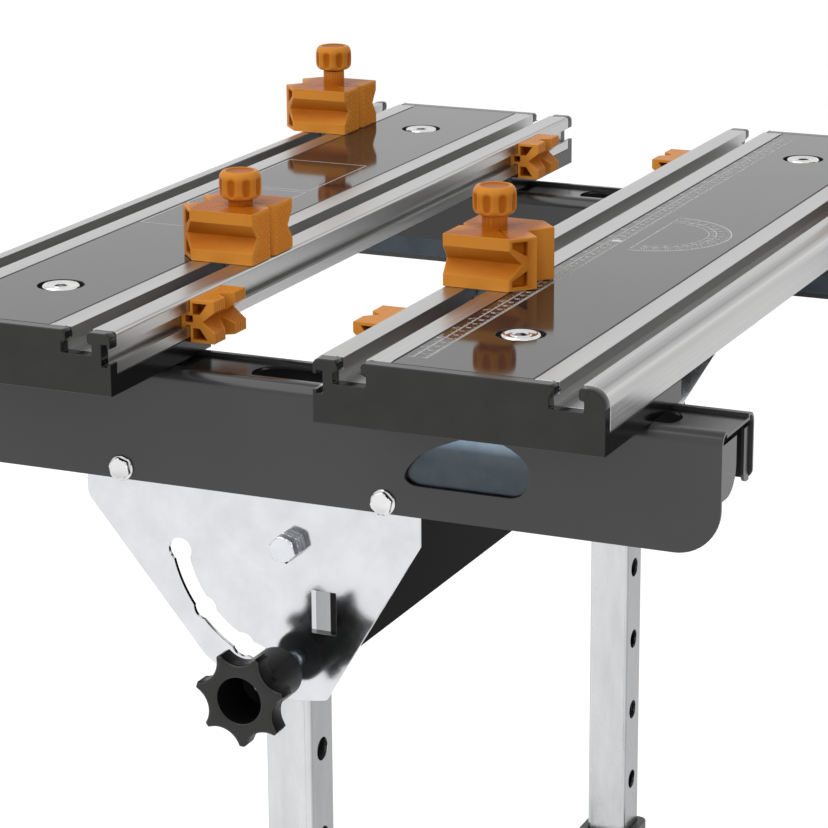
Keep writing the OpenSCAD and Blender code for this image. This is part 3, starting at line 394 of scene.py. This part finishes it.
def piece(name, solid, slot, body, material=None, smooth=True, side=None):
    """Makes one piece; side is a second material for faces that look away from the X axis, here a darker copy
    for painted shade.
    """
    verts, faces = solid
    mesh = bpy.data.meshes.new(name)
    mesh.from_pydata([Vector(v) * MM for v in verts], [], faces)
    mesh.validate()
    mesh.materials.append(material or MATS[slot])
    if side:
        mesh.materials.append(side)
        for polygon in mesh.polygons:
            polygon.material_index = int(abs(polygon.normal.x) < 0.5)
    obj = bpy.data.objects.new(name, mesh)
    bpy.context.scene.collection.objects.link(obj)
    if smooth:
        mesh.shade_smooth()
        mesh.set_sharp_from_angle(angle=math.radians(SHARP_ANGLE))
    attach(obj, body)
    return obj


def loft(rings, closed=False, start=True):
    """Joins rings of equal length into a skin; open ends are capped, the first one if start is set."""
    count = len(rings[0])
    verts = [v for ring in rings for v in ring]
    faces = []
    last = len(rings) if closed else len(rings) - 1
    for k in range(last):
        a = k * count
        b = (k + 1) % len(rings) * count
        for i in range(count):
            j = (i + 1) % count
            faces.append((a + i, a + j, b + j, b + i))
    if start and not closed:
        faces.append(tuple(reversed(range(count))))
    if not closed:
        faces.append(tuple(range(len(verts) - count, len(verts))))
    return verts, faces


def merge(*solids):
    verts, faces = [], []
    for v, f in solids:
        shift = len(verts)
        verts += list(v)
        faces += [tuple(i + shift for i in face) for face in f]
    return verts, faces


def shifted(solid, x, y, z):
    verts, faces = solid
    return [(v[X] + x, v[Y] + y, v[Z] + z) for v in verts], faces


def flipped(solid):
    verts, faces = solid
    return verts, [tuple(reversed(face)) for face in faces]


def mirrored(solid, axis):
    verts, faces = solid
    turned = [tuple(-c if k == axis else c for k, c in enumerate(v)) for v in verts]
    return flipped((turned, faces))


def polar(radius, angle):
    """A point of a circle; radius is a number or a function of the angle."""
    r = radius(angle) if callable(radius) else radius
    return r * math.cos(angle), r * math.sin(angle)


def ring_x(x, radius, count, cy=0.0, cz=0.0):
    points = [polar(radius, TAU * i / count) for i in range(count)]
    return [(x, cy + u, cz + v) for u, v in points]


def ring_z(z, radius, count):
    points = [polar(radius, TAU * i / count) for i in range(count)]
    return [(u, v, z) for u, v in points]


def lathe_x(profile, count=64, cy=0.0, cz=0.0):
    """Turns (x, radius) pairs about an axis along X."""
    return loft([ring_x(x, r, count, cy, cz) for x, r in profile])


def hexagon(half_flats, turn=0.0):
    """Radius of a hexagon as a function of the angle."""
    return lambda a: half_flats / math.cos(((a - turn) % SIXTH) - SIXTH / 2)


# Sizes that come from the CAD nodes
def corners(node):
    """Lowest and highest corners of a node at rest."""
    return [[round(value / MM, 3) for value in corner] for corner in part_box(node)]


def middle(node, axis):
    low, high = corners(node)
    return (low[axis] + high[axis]) / 2


PANEL_JOINT = 0.8
PANEL_LOW, PANEL_HIGH = corners("panel_a")
WORK_H = PANEL_HIGH[Z]
HALF_LEN = corners("cap_a_far")[1][X]
TOP_GAP = 2 * corners("rail_a_inner")[0][Y]
TOP_W = corners("rail_a_outer")[1][Y] - TOP_GAP / 2
RAIL_W = PANEL_LOW[Y] - PANEL_JOINT - TOP_GAP / 2
PANEL_W = TOP_W - 2 * RAIL_W
SLOT_MID = middle("slot_nut_a_near", Y) - TOP_GAP / 2
CHAN_X = corners("channel_far")[1][X]
PLATE_X = corners("tilt_plate_far")[1][X]
PIVOT_Y = middle("pivot_bolts", Y)
PIVOT_Z = middle("pivot_bolts", Z)
BLOCK_KEYS = [top + "_" + end for top in TOPS for end in ENDS]
BLOCK_X = {key: middle("block_" + key, X) for key in BLOCK_KEYS}
KNOB_TOP = {key: corners("block_knob_" + key)[1][Z] for key in BLOCK_KEYS}


def block_y(key):
    off = SLOT_MID if key.endswith("near") else TOP_W - SLOT_MID
    return (TOP_GAP / 2 + off) * TOPS[key[0]]


# Tilt locks: star knob, plunger sleeve, shaft and the ring nut inside the recess.
# Outlines are (place along X, radius) pairs, and LOCK is the lock's place about the pivot.
LOCK_R = 83.3
LOCK_ANGLE = math.radians(-88.5)
LOCK = polar(LOCK_R, LOCK_ANGLE)
LOCK_BASE = (-PLATE_X - 0.3, PIVOT_Y, PIVOT_Z)
PIN_R = 5.2
STAR_LOBES = 7
STAR_SEGMENTS = 25
STAR_R = 31.8
STAR_T = 15.0
STAR_PHASE = math.radians(10.9)
SCALLOP_R = 16.0
SCALLOP_AT = 40.0
HUB_X = -58.1
HUB_END = -14.8
HUB_R = 17.3
RECESS_R = 15.5
RECESS_D = 35.0


def star_radius(shrink=0.0):
    """Outline of the star, drawn in by shrink: flat lobes with round hollows between them."""
    step = TAU / STAR_LOBES
    scallop = SCALLOP_R + shrink

    def radius(a):
        d = (a - STAR_PHASE) % step - step / 2
        tip = (STAR_R - shrink) / math.cos(abs(d) - step / 2)
        s = SCALLOP_AT * math.sin(d)
        if abs(s) >= scallop:
            return tip
        return min(tip, SCALLOP_AT * math.cos(d) - math.sqrt(scallop ** 2 - s ** 2))

    return radius


def at_lock(solid, end):
    """Moves a solid drawn about the pivot to the tilt lock of one end."""
    solid = shifted(solid, *LOCK_BASE)
    return mirrored(solid, X) if end == "far" else solid


def star_knob(end):
    back = HUB_X
    front = HUB_X - STAR_T
    floor = front + RECESS_D
    hub = [(HUB_END, PIN_R), (HUB_END, HUB_R - 1.2), (HUB_END - 0.4, HUB_R - 0.35), (HUB_END - 1.2, HUB_R),
           (back + 2.4, HUB_R), (back + 0.8, HUB_R + 0.4), (back, HUB_R + 1.6)]
    star = [(back, 1.2), (back - 0.35, 0.35), (back - 1.2, 0.0), (front + 2.4, 0.0), (front + 1.3, 0.2),
            (front + 0.5, 0.8), (front + 0.1, 1.7), (front, 2.8)]
    recess = [(front, RECESS_R + 1.5), (front + 0.15, RECESS_R + 0.8), (front + 0.6, RECESS_R + 0.25),
              (front + 1.4, RECESS_R), (floor, RECESS_R - 0.2), (floor, PIN_R)]
    outline = hub + [(x, star_radius(shrink)) for x, shrink in star] + recess
    rings = [ring_x(x, r, STAR_LOBES * STAR_SEGMENTS, *LOCK) for x, r in outline]
    solid = at_lock(loft(rings, closed=True), end)
    # The sides of the star and hub take the painted-shade copy of the plastic
    obj = piece("star_knob_%s_shell" % end, solid, "black_plastic", "star_" + end, STAR_BLACK, side=STAR_SHADED_SIDE)
    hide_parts("star_knob_" + end)


def plunger(end):
    floor = HUB_X - STAR_T + RECESS_D
    tail = -14.0
    sleeve = [(-14.5, 4.9), (-14.5, 5.7), (tail, 6.2), (-13.6, 6.3), (-4.2, 6.3), (-3.5, 6.1), (-3.0, 6.4),
              (-3.0, 7.0), (-2.6, 7.4), (-0.6, 7.4), (-0.1, 6.9), (0.0, PIN_R), (15.4, PIN_R), (16.3, 4.2)]
    shaft = [(floor, 4.9), (tail, 4.9)]
    nut = [(-4.9, 3.2), (-5.0, 3.8), (-4.4, 4.4), (-3.7, 4.5), (-3.9, 5.0), (-3.9, 5.6), (-3.5, 6.1),
           (-1.0, 6.2), (-0.4, 5.8), (-0.4, 4.9)]
    body = "tilt_lock_" + end
    slim = at_lock(lathe_x(sleeve, 64, *LOCK), end)
    nut_solid = lathe_x([(floor + x, r) for x, r in nut], 56, *LOCK)
    bright = at_lock(merge(lathe_x(shaft, 48, *LOCK), nut_solid), end)
    obj = piece("tilt_plunger_%s_sleeve" % end, slim, "zinc_blue", body)
    piece("tilt_plunger_%s_shaft" % end, bright, "bright_steel", body)
    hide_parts("plunger_" + end)


# Clamp block knobs: outline as (height, radius, depth of the flutes), and a threaded screw
GRIP_FLUTES = 8
GRIP_SEGMENTS = 16
GRIP_H = 19.5
GRIP_CUP = [(2.0, 8.9), (10.0, 8.6)]
GRIP_OUTLINE = [
    (2.0, 8.9, 0), (0.5, 9.3, 0), (0.0, 10.0, 0), (0.0, 10.9, 0), (0.3, 12.0, 0), (1.1, 13.2, 0.15),
    (2.4, 14.1, 0.8), (4.0, 14.6, 1.4), (7.0, 14.8, 1.7), (11.0, 14.8, 1.7), (13.6, 14.7, 1.2),
    (15.4, 14.5, 0.5), (17.1, 14.0, 0.1), (18.4, 13.1, 0), (19.2, 12.2, 0), (GRIP_H, 11.2, 0),
    (19.4, 10.4, 0), (19.0, 9.5, 0), (18.6, 8.6, 0), (18.4, 6.5, 0), (18.3, 2.5, 0),
]
FLUTE_POWER = 1.4
THREAD_PITCH = 1.25
THREAD_R = 3.95
THREAD_ROOT = 3.45
SCREW_TIP = 11.5
SCREW_TOP = 10.0


def fluted(r, depth):
    """Radius with flutes of the given depth and narrow ridges between them."""
    def radius(a):
        wave = 0.5 - 0.5 * math.cos(GRIP_FLUTES * a)
        return r - depth * (1 - wave) ** FLUTE_POWER
    return radius


def grip(key):
    count = GRIP_FLUTES * GRIP_SEGMENTS
    base = KNOB_TOP[key] - GRIP_H
    at = (BLOCK_X[key], block_y(key), base)
    outside = loft([ring_z(z, fluted(r, d) if d else r, count) for z, r, d in GRIP_OUTLINE], start=False)
    inside = flipped(loft([ring_z(z, r, count) for z, r in GRIP_CUP], start=False))
    obj = piece("grip_" + key, shifted(merge(outside, inside), *at), "orange_plastic", "block_knob_" + key)
    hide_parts("block_knob_" + key)
    low = WORK_H - SCREW_TIP - base
    steps = int((SCREW_TOP - low) / (THREAD_PITCH / 2))
    rings = []
    for k in range(steps + 1):
        z = low + (SCREW_TOP - low) * k / steps
        rings.append(ring_z(z, THREAD_R if k % 2 else THREAD_ROOT, 32))
    piece("grip_screw_" + key, shifted(loft(rings), *at), "bright_steel", "block_knob_" + key)


# Flat clamp screws: outline as (height, radius), down to the hexagon socket in the head
CLAMP_X = CHAN_X - 30
DISC_OUTLINE = [
    (-60.0, 3.95), (-3.6, 3.95), (-3.6, 12.4), (-3.2, 12.9), (-2.4, 13.0), (-1.1, 12.95), (-0.2, 12.5),
    (0.35, 11.7), (0.45, 10.8), (0.3, 10.2), (-0.25, 9.6), (-0.45, 8.8), (-0.45, 6.9), (-0.1, 6.4),
    (0.2, 5.9), (0.15, 5.4),
]
DISC_SOCKET = [(-0.4, 3.9), (-3.4, 3.8)]
DISC_SEGMENTS = 72


def clamp_disc(top, end):
    outline = DISC_OUTLINE + [(z, hexagon(flats)) for z, flats in DISC_SOCKET] + [(-3.9, 0.6)]
    solid = loft([ring_z(z, r, DISC_SEGMENTS) for z, r in outline])
    at = (CLAMP_X * ENDS[end], (TOP_GAP / 2 + TOP_W / 2) * TOPS[top], WORK_H)
    name = "%s_%s" % (top, end)
    obj = piece("clamp_disc_" + name, shifted(solid, *at), "bright_steel", "clamp_screw_" + name)
    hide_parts("clamp_screw_" + name)


# Bolts and nuts; FLATS is half the width across flats
M8_R = 3.95
M8_FLATS = 7.0
M10_R = 4.95
M10_FLATS = 8.5
# Flange bolts: offset from the pivot along Y, and the head's turn
FLANGE_BOLTS = [(123.5, 0.3), (-68, 0.75)]
FLANGE_BOLT_UP = 38.3
FLANGE = [(0.0, 8.7), (-0.6, 8.7), (-1.2, 8.3), (-1.5, 7.6), (-1.6, 4)]
PIVOT_TURN = math.radians(15.4)


def hex_head(x0, x1, flats, cy, cz, turn=0.0, dish=0.1, chamfer=0.9):
    """Hexagon head from x0 (seat) to x1 (top), with a chamfered rim and a shallow dish."""
    count = 72
    sign = 1 if x1 > x0 else -1
    outline = hexagon(flats, turn)
    corner = flats / math.cos(SIXTH / 2)

    def cut(limit):
        return lambda a: min(outline(a), limit)

    levels = [
        (x0, cut(corner)),
        (x1 - sign * chamfer, cut(corner)),
        (x1 - sign * chamfer * 0.45, cut(flats + (corner - flats) * 0.5)),
        (x1, cut(flats * 0.96)),
        (x1, flats * 0.90),
        (x1 - sign * dish, flats * 0.84),
        (x1 - sign * dish, 0.3),
    ]
    rings = [ring_x(x, r, count, cy, cz) for x, r in levels]
    if sign < 0:
        rings = [list(reversed(ring)) for ring in rings]
    return loft(rings)


def rod(x0, x1, r, cy, cz, count=48, rim=0.0):
    """Round bar along X with chamfered ends."""
    ends = [(x0, r - rim), (x0 + rim, r), (x1 - rim, r), (x1, r - rim)] if rim else [(x0, r), (x1, r)]
    return lathe_x(ends, count, cy, cz)


def both_ends(solids):
    solid = merge(*solids)
    return merge(solid, mirrored(solid, X))


def plate_bolts():
    solids = []
    z = PIVOT_Z + FLANGE_BOLT_UP
    for off, turn in FLANGE_BOLTS:
        y = PIVOT_Y + off
        collar = [list(reversed(ring_x(x - CHAN_X, r, 64, y, z))) for x, r in FLANGE]
        solids.append(loft(collar))
        solids.append(hex_head(-CHAN_X - 1.3, -CHAN_X - 4.3, M8_FLATS, y, z, turn, chamfer=0.8))
        solids.append(rod(-CHAN_X - 1, -PLATE_X + 11, M8_R, y, z, 40, rim=0.5))
        solids.append(hex_head(-PLATE_X + 3, -PLATE_X + 9.5, M8_FLATS, y, z, 0.2))
    # Bolt sides take the painted-shade copy of the zinc
    obj = piece("flange_bolts", both_ends(solids), "bright_steel", "table", side=HEX_SHADED_SIDE)
    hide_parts("plate_bolts")


def pivot_bolts():
    face = -PLATE_X - 0.2
    at = (PIVOT_Y, PIVOT_Z)
    solids = [
        hex_head(face, face - 5.6, M10_FLATS, *at, PIVOT_TURN, dish=0.05, chamfer=0.5),
        rod(face - 6.4, face - 5.2, 7.6, *at, 56),
        hex_head(face - 6.0, face - 12.5, M10_FLATS, *at, PIVOT_TURN, dish=0.05, chamfer=1.2),
        rod(face - 6, -PLATE_X + 44.0, M10_R, *at, rim=0.6),
        rod(-PLATE_X + 3.2, -PLATE_X + 4.0, 9.8, *at),
        hex_head(-PLATE_X + 38, -PLATE_X + 43.6, M10_FLATS, *at, 0.1),
    ]
    # Bolt sides take the painted-shade copy of the zinc
    obj = piece("pivot_hex_bolts", both_ends(solids), "zinc_blue", "stand", HEX_ZINC, side=HEX_SHADED_SIDE)
    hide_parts("pivot_bolts")


# Diamond grip on the block faces towards the gap, cut off at the grooves of the block
BLOCK_H = 36.0
BLOCK_LIFT = 0.2
BLOCK_HALF = 31.0
BLOCK_MARGIN = 0.8
FIRST_DIAMOND = 6.5
NOTCH_DEPTH = 7.6
NOTCH_HALF = 10.5
KNURL_PITCH = 4.0
KNURL_H = 1.2
KNURL_FILL = 0.92
KNURL_SINK = 0.05


def diamond(x, z, h):
    """Four-sided point on the face, h wide each way from its middle."""
    verts = [(x - h, KNURL_SINK, z), (x, KNURL_SINK, z - h), (x + h, KNURL_SINK, z), (x, KNURL_SINK, z + h),
             (x, -KNURL_H, z)]
    return verts, [(0, 1, 4), (1, 2, 4), (2, 3, 4), (3, 0, 4), (3, 2, 1, 0)]


def knurl(key):
    half_pitch = KNURL_PITCH / 2
    h = half_pitch * KNURL_FILL
    rows = int(BLOCK_H / half_pitch)
    solids = []
    for side in (-1, 1):
        for row in range(1, rows):
            z = row * BLOCK_H / rows
            notch = max(0.0, NOTCH_DEPTH * (1 - abs(z - BLOCK_H / 2) / NOTCH_HALF))
            x = FIRST_DIAMOND + (half_pitch if row % 2 else 0)
            while x + half_pitch <= BLOCK_HALF - BLOCK_MARGIN - notch:
                if h < z < BLOCK_H - h:
                    solids.append(diamond(side * x, z, h))
                x += KNURL_PITCH
    solid = shifted(merge(*solids), BLOCK_X[key], abs(block_y(key)) - SLOT_MID, WORK_H + BLOCK_LIFT)
    if TOPS[key[0]] < 0:
        solid = mirrored(solid, Y)
    piece("grip_face_" + key, solid, "orange_plastic", "block_" + key, smooth=False)


# Print on the panels
PRINT_Z = WORK_H + 0.02
PRINT_T = 0.06
RIGHT = (1, 0)
UP = (0, 1)


def slab(quad):
    """Thin plate of print over four points of the work surface."""
    verts = [(x, y, z) for z in (PRINT_Z, PRINT_Z + PRINT_T) for x, y in quad]
    return verts, [(3, 2, 1, 0), (4, 5, 6, 7), (0, 1, 5, 4), (1, 2, 6, 5), (2, 3, 7, 6), (3, 0, 4, 7)]


def bar(x0, y0, x1, y1):
    return slab([(x0, y0), (x1, y0), (x1, y1), (x0, y1)])


def stroke(p, q, width):
    """Bar between two points of the work surface."""
    d = Vector((q[0] - p[0], q[1] - p[1], 0))
    n = Vector((-d.y, d.x, 0)).normalized() * (width / 2)
    return slab([(p[0] - n.x, p[1] - n.y), (q[0] - n.x, q[1] - n.y), (q[0] + n.x, q[1] + n.y),
                 (p[0] + n.x, p[1] + n.y)])


SEGMENTS = {
    "0": "abcdef", "1": "bc", "2": "abged", "3": "abgcd", "4": "fgbc", "5": "afgcd", "6": "afgedc",
    "7": "abc", "8": "abcdefg", "9": "abcdfg",
}
DIGIT_W = 0.6
STROKES = {
    "a": ((0, 1), (DIGIT_W, 1)), "b": ((DIGIT_W, 1), (DIGIT_W, 0.5)), "c": ((DIGIT_W, 0.5), (DIGIT_W, 0)),
    "d": ((0, 0), (DIGIT_W, 0)), "e": ((0, 0.5), (0, 0)), "f": ((0, 1), (0, 0.5)),
    "g": ((0, 0.5), (DIGIT_W, 0.5)),
}
DIGIT_STEP = 0.9


def number(value, x, y, size, right=RIGHT, up=UP, width=0.45):
    """Plain digits centred on x, y; right and up are unit directions on the surface."""
    text = str(value)
    start = -(len(text) * DIGIT_STEP - (DIGIT_STEP - DIGIT_W)) / 2
    out = []
    for i, digit in enumerate(text):
        for segment in SEGMENTS[digit]:
            ends = []
            for u, v in STROKES[segment]:
                a = (start + i * DIGIT_STEP + u) * size
                b = (v - 0.5) * size
                ends.append((x + right[0] * a + up[0] * b, y + right[1] * a + up[1] * b))
            out.append(stroke(*ends, width))
    return out


# Ruler along the inner rail of top b: parts of an inch on the inner side, millimetres on the outer
INCH = 25.4
INCH_PARTS = 16
RULER_X = (-373.0, 368.0)
RULER_INSET = 0.9
RULER_W = 15.6
RULER_MID = 6.3
RULER_MARK = (-33.5, -28.0)
INCH_TICKS = [(16, 3.4), (8, 2.5), (4, 1.8), (1, 1.1)]
MM_TICKS = [(10, 3.6), (5, 2.7), (1, 1.9)]
CM_TICK = 1.6


def tick_length(k, ticks):
    """Length of tick k: the first pair whose count divides k holds it."""
    return next(length for count, length in ticks if k % count == 0)


def ruler():
    x0, x1 = RULER_X
    near = -(TOP_GAP / 2 + RAIL_W + RULER_INSET)
    far = near - RULER_W
    mid = near - RULER_MID
    parts = [bar(x0, mid - 0.25, x1, mid + 0.25), bar(x0, far - 0.15, x1, far + 0.3)]
    step = INCH / INCH_PARTS
    for k in range(int((x1 - x0) / step) + 1):
        x = x0 + k * step
        parts.append(bar(x - 0.2, mid, x + 0.2, mid + tick_length(k, INCH_TICKS)))
        if k and k % INCH_PARTS == 0:
            parts += number(k // INCH_PARTS, x - 2.8, mid + 4.2, 2.8)
    for k in range(int(x1 - x0) + 1):
        x = x0 + k
        parts.append(bar(x - 0.17, far, x + 0.17, far + tick_length(k, MM_TICKS)))
        if k % 10 == 0:
            parts.append(bar(x - 0.14, mid - CM_TICK, x + 0.14, mid))
        if k and k % 10 == 0:
            parts += number(k // 10, x - 2.2, mid - 3.6, 2.6)
    parts.append(bar(RULER_MARK[0], far + 0.2, RULER_MARK[1], mid - 1.2))
    piece("ruler_print", merge(*parts), "panel", "top_b", INK, smooth=False)


# Half-round angle scale on top b
SCALE_AT = (1.0, -148.0)
SCALE_R = 55.0
SCALE_INNER_R = 39.0
SCALE_RINGS = [(SCALE_R, 0.7), (44.5, 0.4), (SCALE_INNER_R, 0.45)]
SCALE_STEPS = 72
SCALE_LINE = 0.3
DIGIT_RINGS = (48.0, 42.9)


def on_scale(radius, angle):
    return SCALE_AT[0] + radius * math.cos(angle), SCALE_AT[1] - radius * math.sin(angle)


def angle_scale():
    parts = [stroke(on_scale(SCALE_R, math.pi), on_scale(SCALE_R, 0), 0.5)]
    for radius, width in SCALE_RINGS:
        for k in range(SCALE_STEPS):
            a = math.pi * k / SCALE_STEPS
            b = math.pi * (k + 1) / SCALE_STEPS
            parts.append(stroke(on_scale(radius, a), on_scale(radius, b), width))
    for degrees in range(0, 181, 2):
        a = math.radians(degrees)
        start = 50.6 if degrees % 10 == 0 else 52.0
        parts.append(stroke(on_scale(start, a), on_scale(SCALE_R, a), SCALE_LINE))
        if degrees % 10 == 0:
            parts.append(stroke(on_scale(SCALE_INNER_R, a), on_scale(SCALE_INNER_R + 2.2, a), SCALE_LINE))
    for degrees in range(10, 180, 10):
        a = math.radians(degrees)
        out = (math.cos(a), -math.sin(a))
        right = (-out[1], out[0])
        for radius, value in zip(DIGIT_RINGS, (degrees, 180 - degrees)):
            parts += number(value, *on_scale(radius, a), 2.4, right, out, width=0.28)
    piece("angle_scale_print", merge(*parts), "panel", "top_b", INK, smooth=False)


# Plain outlines on the panel of top a
FRAME_Y = (144, 211)
FRAME_X = [(-107, -42), (-36, 30), (36, 139)]
FRAME_LINE = 0.6


def frames():
    y0, y1 = FRAME_Y
    parts = []
    for x0, x1 in FRAME_X:
        path = [(x0, y0), (x1, y0), (x1, y1), (x0, y1)]
        for k, point in enumerate(path):
            parts.append(stroke(point, path[(k + 1) % 4], FRAME_LINE))
    piece("panel_frames_print", merge(*parts), "panel", "top_a", INK, smooth=False)


GAP_SHADE_W = 1.1
GAP_SHADE_INSET = 14


def seams():
    """Dark strips over the joints between the panels and the rails: painted shade of the gap."""
    half = HALF_LEN - GAP_SHADE_INSET
    for top_name, side in TOPS.items():
        parts = []
        for y in (TOP_GAP / 2 + RAIL_W, TOP_GAP / 2 + RAIL_W + PANEL_W):
            low, high = sorted(((y - GAP_SHADE_W / 2) * side, (y + GAP_SHADE_W / 2) * side))
            parts.append(bar(-half, low, half, high))
        piece("panel_gap_shade_" + top_name, merge(*parts), "panel", "top_" + top_name, GAP_SHADE, smooth=False)


# Floor, world and lamps
FLOOR_HALF = 26.0
FLOOR_COLOR = (0.72, 0.72, 0.72, 1)
FLOOR_GLOW = 0.56
WORLD_PLAIN = 0.55
WORLD_SEEN = 1.0
WHITE = (1, 1, 1, 1)
AIM = Vector((0, 0, 0.8))
FILL_AIM = Vector((0, 0, 0.7))


def seen_ray(tree):
    """1 for camera, glossy and transmission rays, 0 for the rest."""
    path = tree.nodes.new("ShaderNodeLightPath")
    value = path.outputs["Is Camera Ray"]
    for kind in ("Is Glossy Ray", "Is Transmission Ray"):
        node = tree.nodes.new("ShaderNodeMath")
        node.operation = "MAXIMUM"
        tree.links.new(value, node.inputs[0])
        tree.links.new(path.outputs[kind], node.inputs[1])
        value = node.outputs[0]
    return value


def show(tree, plain, seen, surface):
    """Mixes the plain shader with the one that seen rays meet."""
    mix = tree.nodes.new("ShaderNodeMixShader")
    tree.links.new(seen_ray(tree), mix.inputs["Fac"])
    tree.links.new(plain, mix.inputs[1])
    tree.links.new(seen, mix.inputs[2])
    tree.links.new(mix.outputs[0], surface)


def add_floor():
    mesh = bpy.data.meshes.new("floor")
    ring = [(-1, -1), (1, -1), (1, 1), (-1, 1)]
    mesh.from_pydata([(u * FLOOR_HALF, v * FLOOR_HALF, 0) for u, v in ring], [], [(0, 1, 2, 3)])
    obj = bpy.data.objects.new("floor", mesh)
    bpy.context.scene.collection.objects.link(obj)
    mat = bpy.data.materials.new("floor")
    mat.use_nodes = True
    tree = mat.node_tree
    bsdf = tree.nodes["Principled BSDF"]
    bsdf.inputs["Base Color"].default_value = FLOOR_COLOR
    bsdf.inputs["Roughness"].default_value = 0.8
    glow = tree.nodes.new("ShaderNodeEmission")
    glow.inputs["Color"].default_value = WHITE
    glow.inputs["Strength"].default_value = FLOOR_GLOW
    both = tree.nodes.new("ShaderNodeAddShader")
    tree.links.new(bsdf.outputs[0], both.inputs[0])
    tree.links.new(glow.outputs[0], both.inputs[1])
    show(tree, bsdf.outputs[0], both.outputs[0], tree.nodes["Material Output"].inputs["Surface"])
    mesh.materials.append(mat)


def add_world():
    world = bpy.data.worlds.new("world")
    bpy.context.scene.world = world
    world.use_nodes = True
    tree = world.node_tree
    plain = tree.nodes["Background"]
    seen = tree.nodes.new("ShaderNodeBackground")
    for node, strength in ((plain, WORLD_PLAIN), (seen, WORLD_SEEN)):
        node.inputs["Color"].default_value = WHITE
        node.inputs["Strength"].default_value = strength
    show(tree, plain.outputs[0], seen.outputs[0], tree.nodes["World Output"].inputs["Surface"])


def add_lamp(name, at, aim, size, power):
    """Square area lamp; at and aim in metres."""
    data = bpy.data.lights.new(name, "AREA")
    data.shape = "RECTANGLE"
    data.size = size
    data.size_y = size
    data.energy = power
    lamp = bpy.data.objects.new(name, data)
    lamp.location = at
    lamp.rotation_euler = (aim - Vector(at)).to_track_quat("-Z", "Y").to_euler()
    bpy.context.scene.collection.objects.link(lamp)


dress_nodes()
for end_name in ENDS:
    star_knob(end_name)
    plunger(end_name)
    for top_name in TOPS:
        clamp_disc(top_name, end_name)
for block_key in BLOCK_KEYS:
    grip(block_key)
    knurl(block_key)
plate_bolts()
pivot_bolts()
seams()
ruler()
angle_scale()
frames()

add_camera()
add_floor()
add_world()
add_lamp("key", (-1.6, 1.6, 3.4), AIM, size=3.6, power=62)
add_lamp("fill", (-2.6, -2.4, 1.6), FILL_AIM, size=2.2, power=18)

scene = bpy.context.scene
scene.view_settings.view_transform = "Standard"
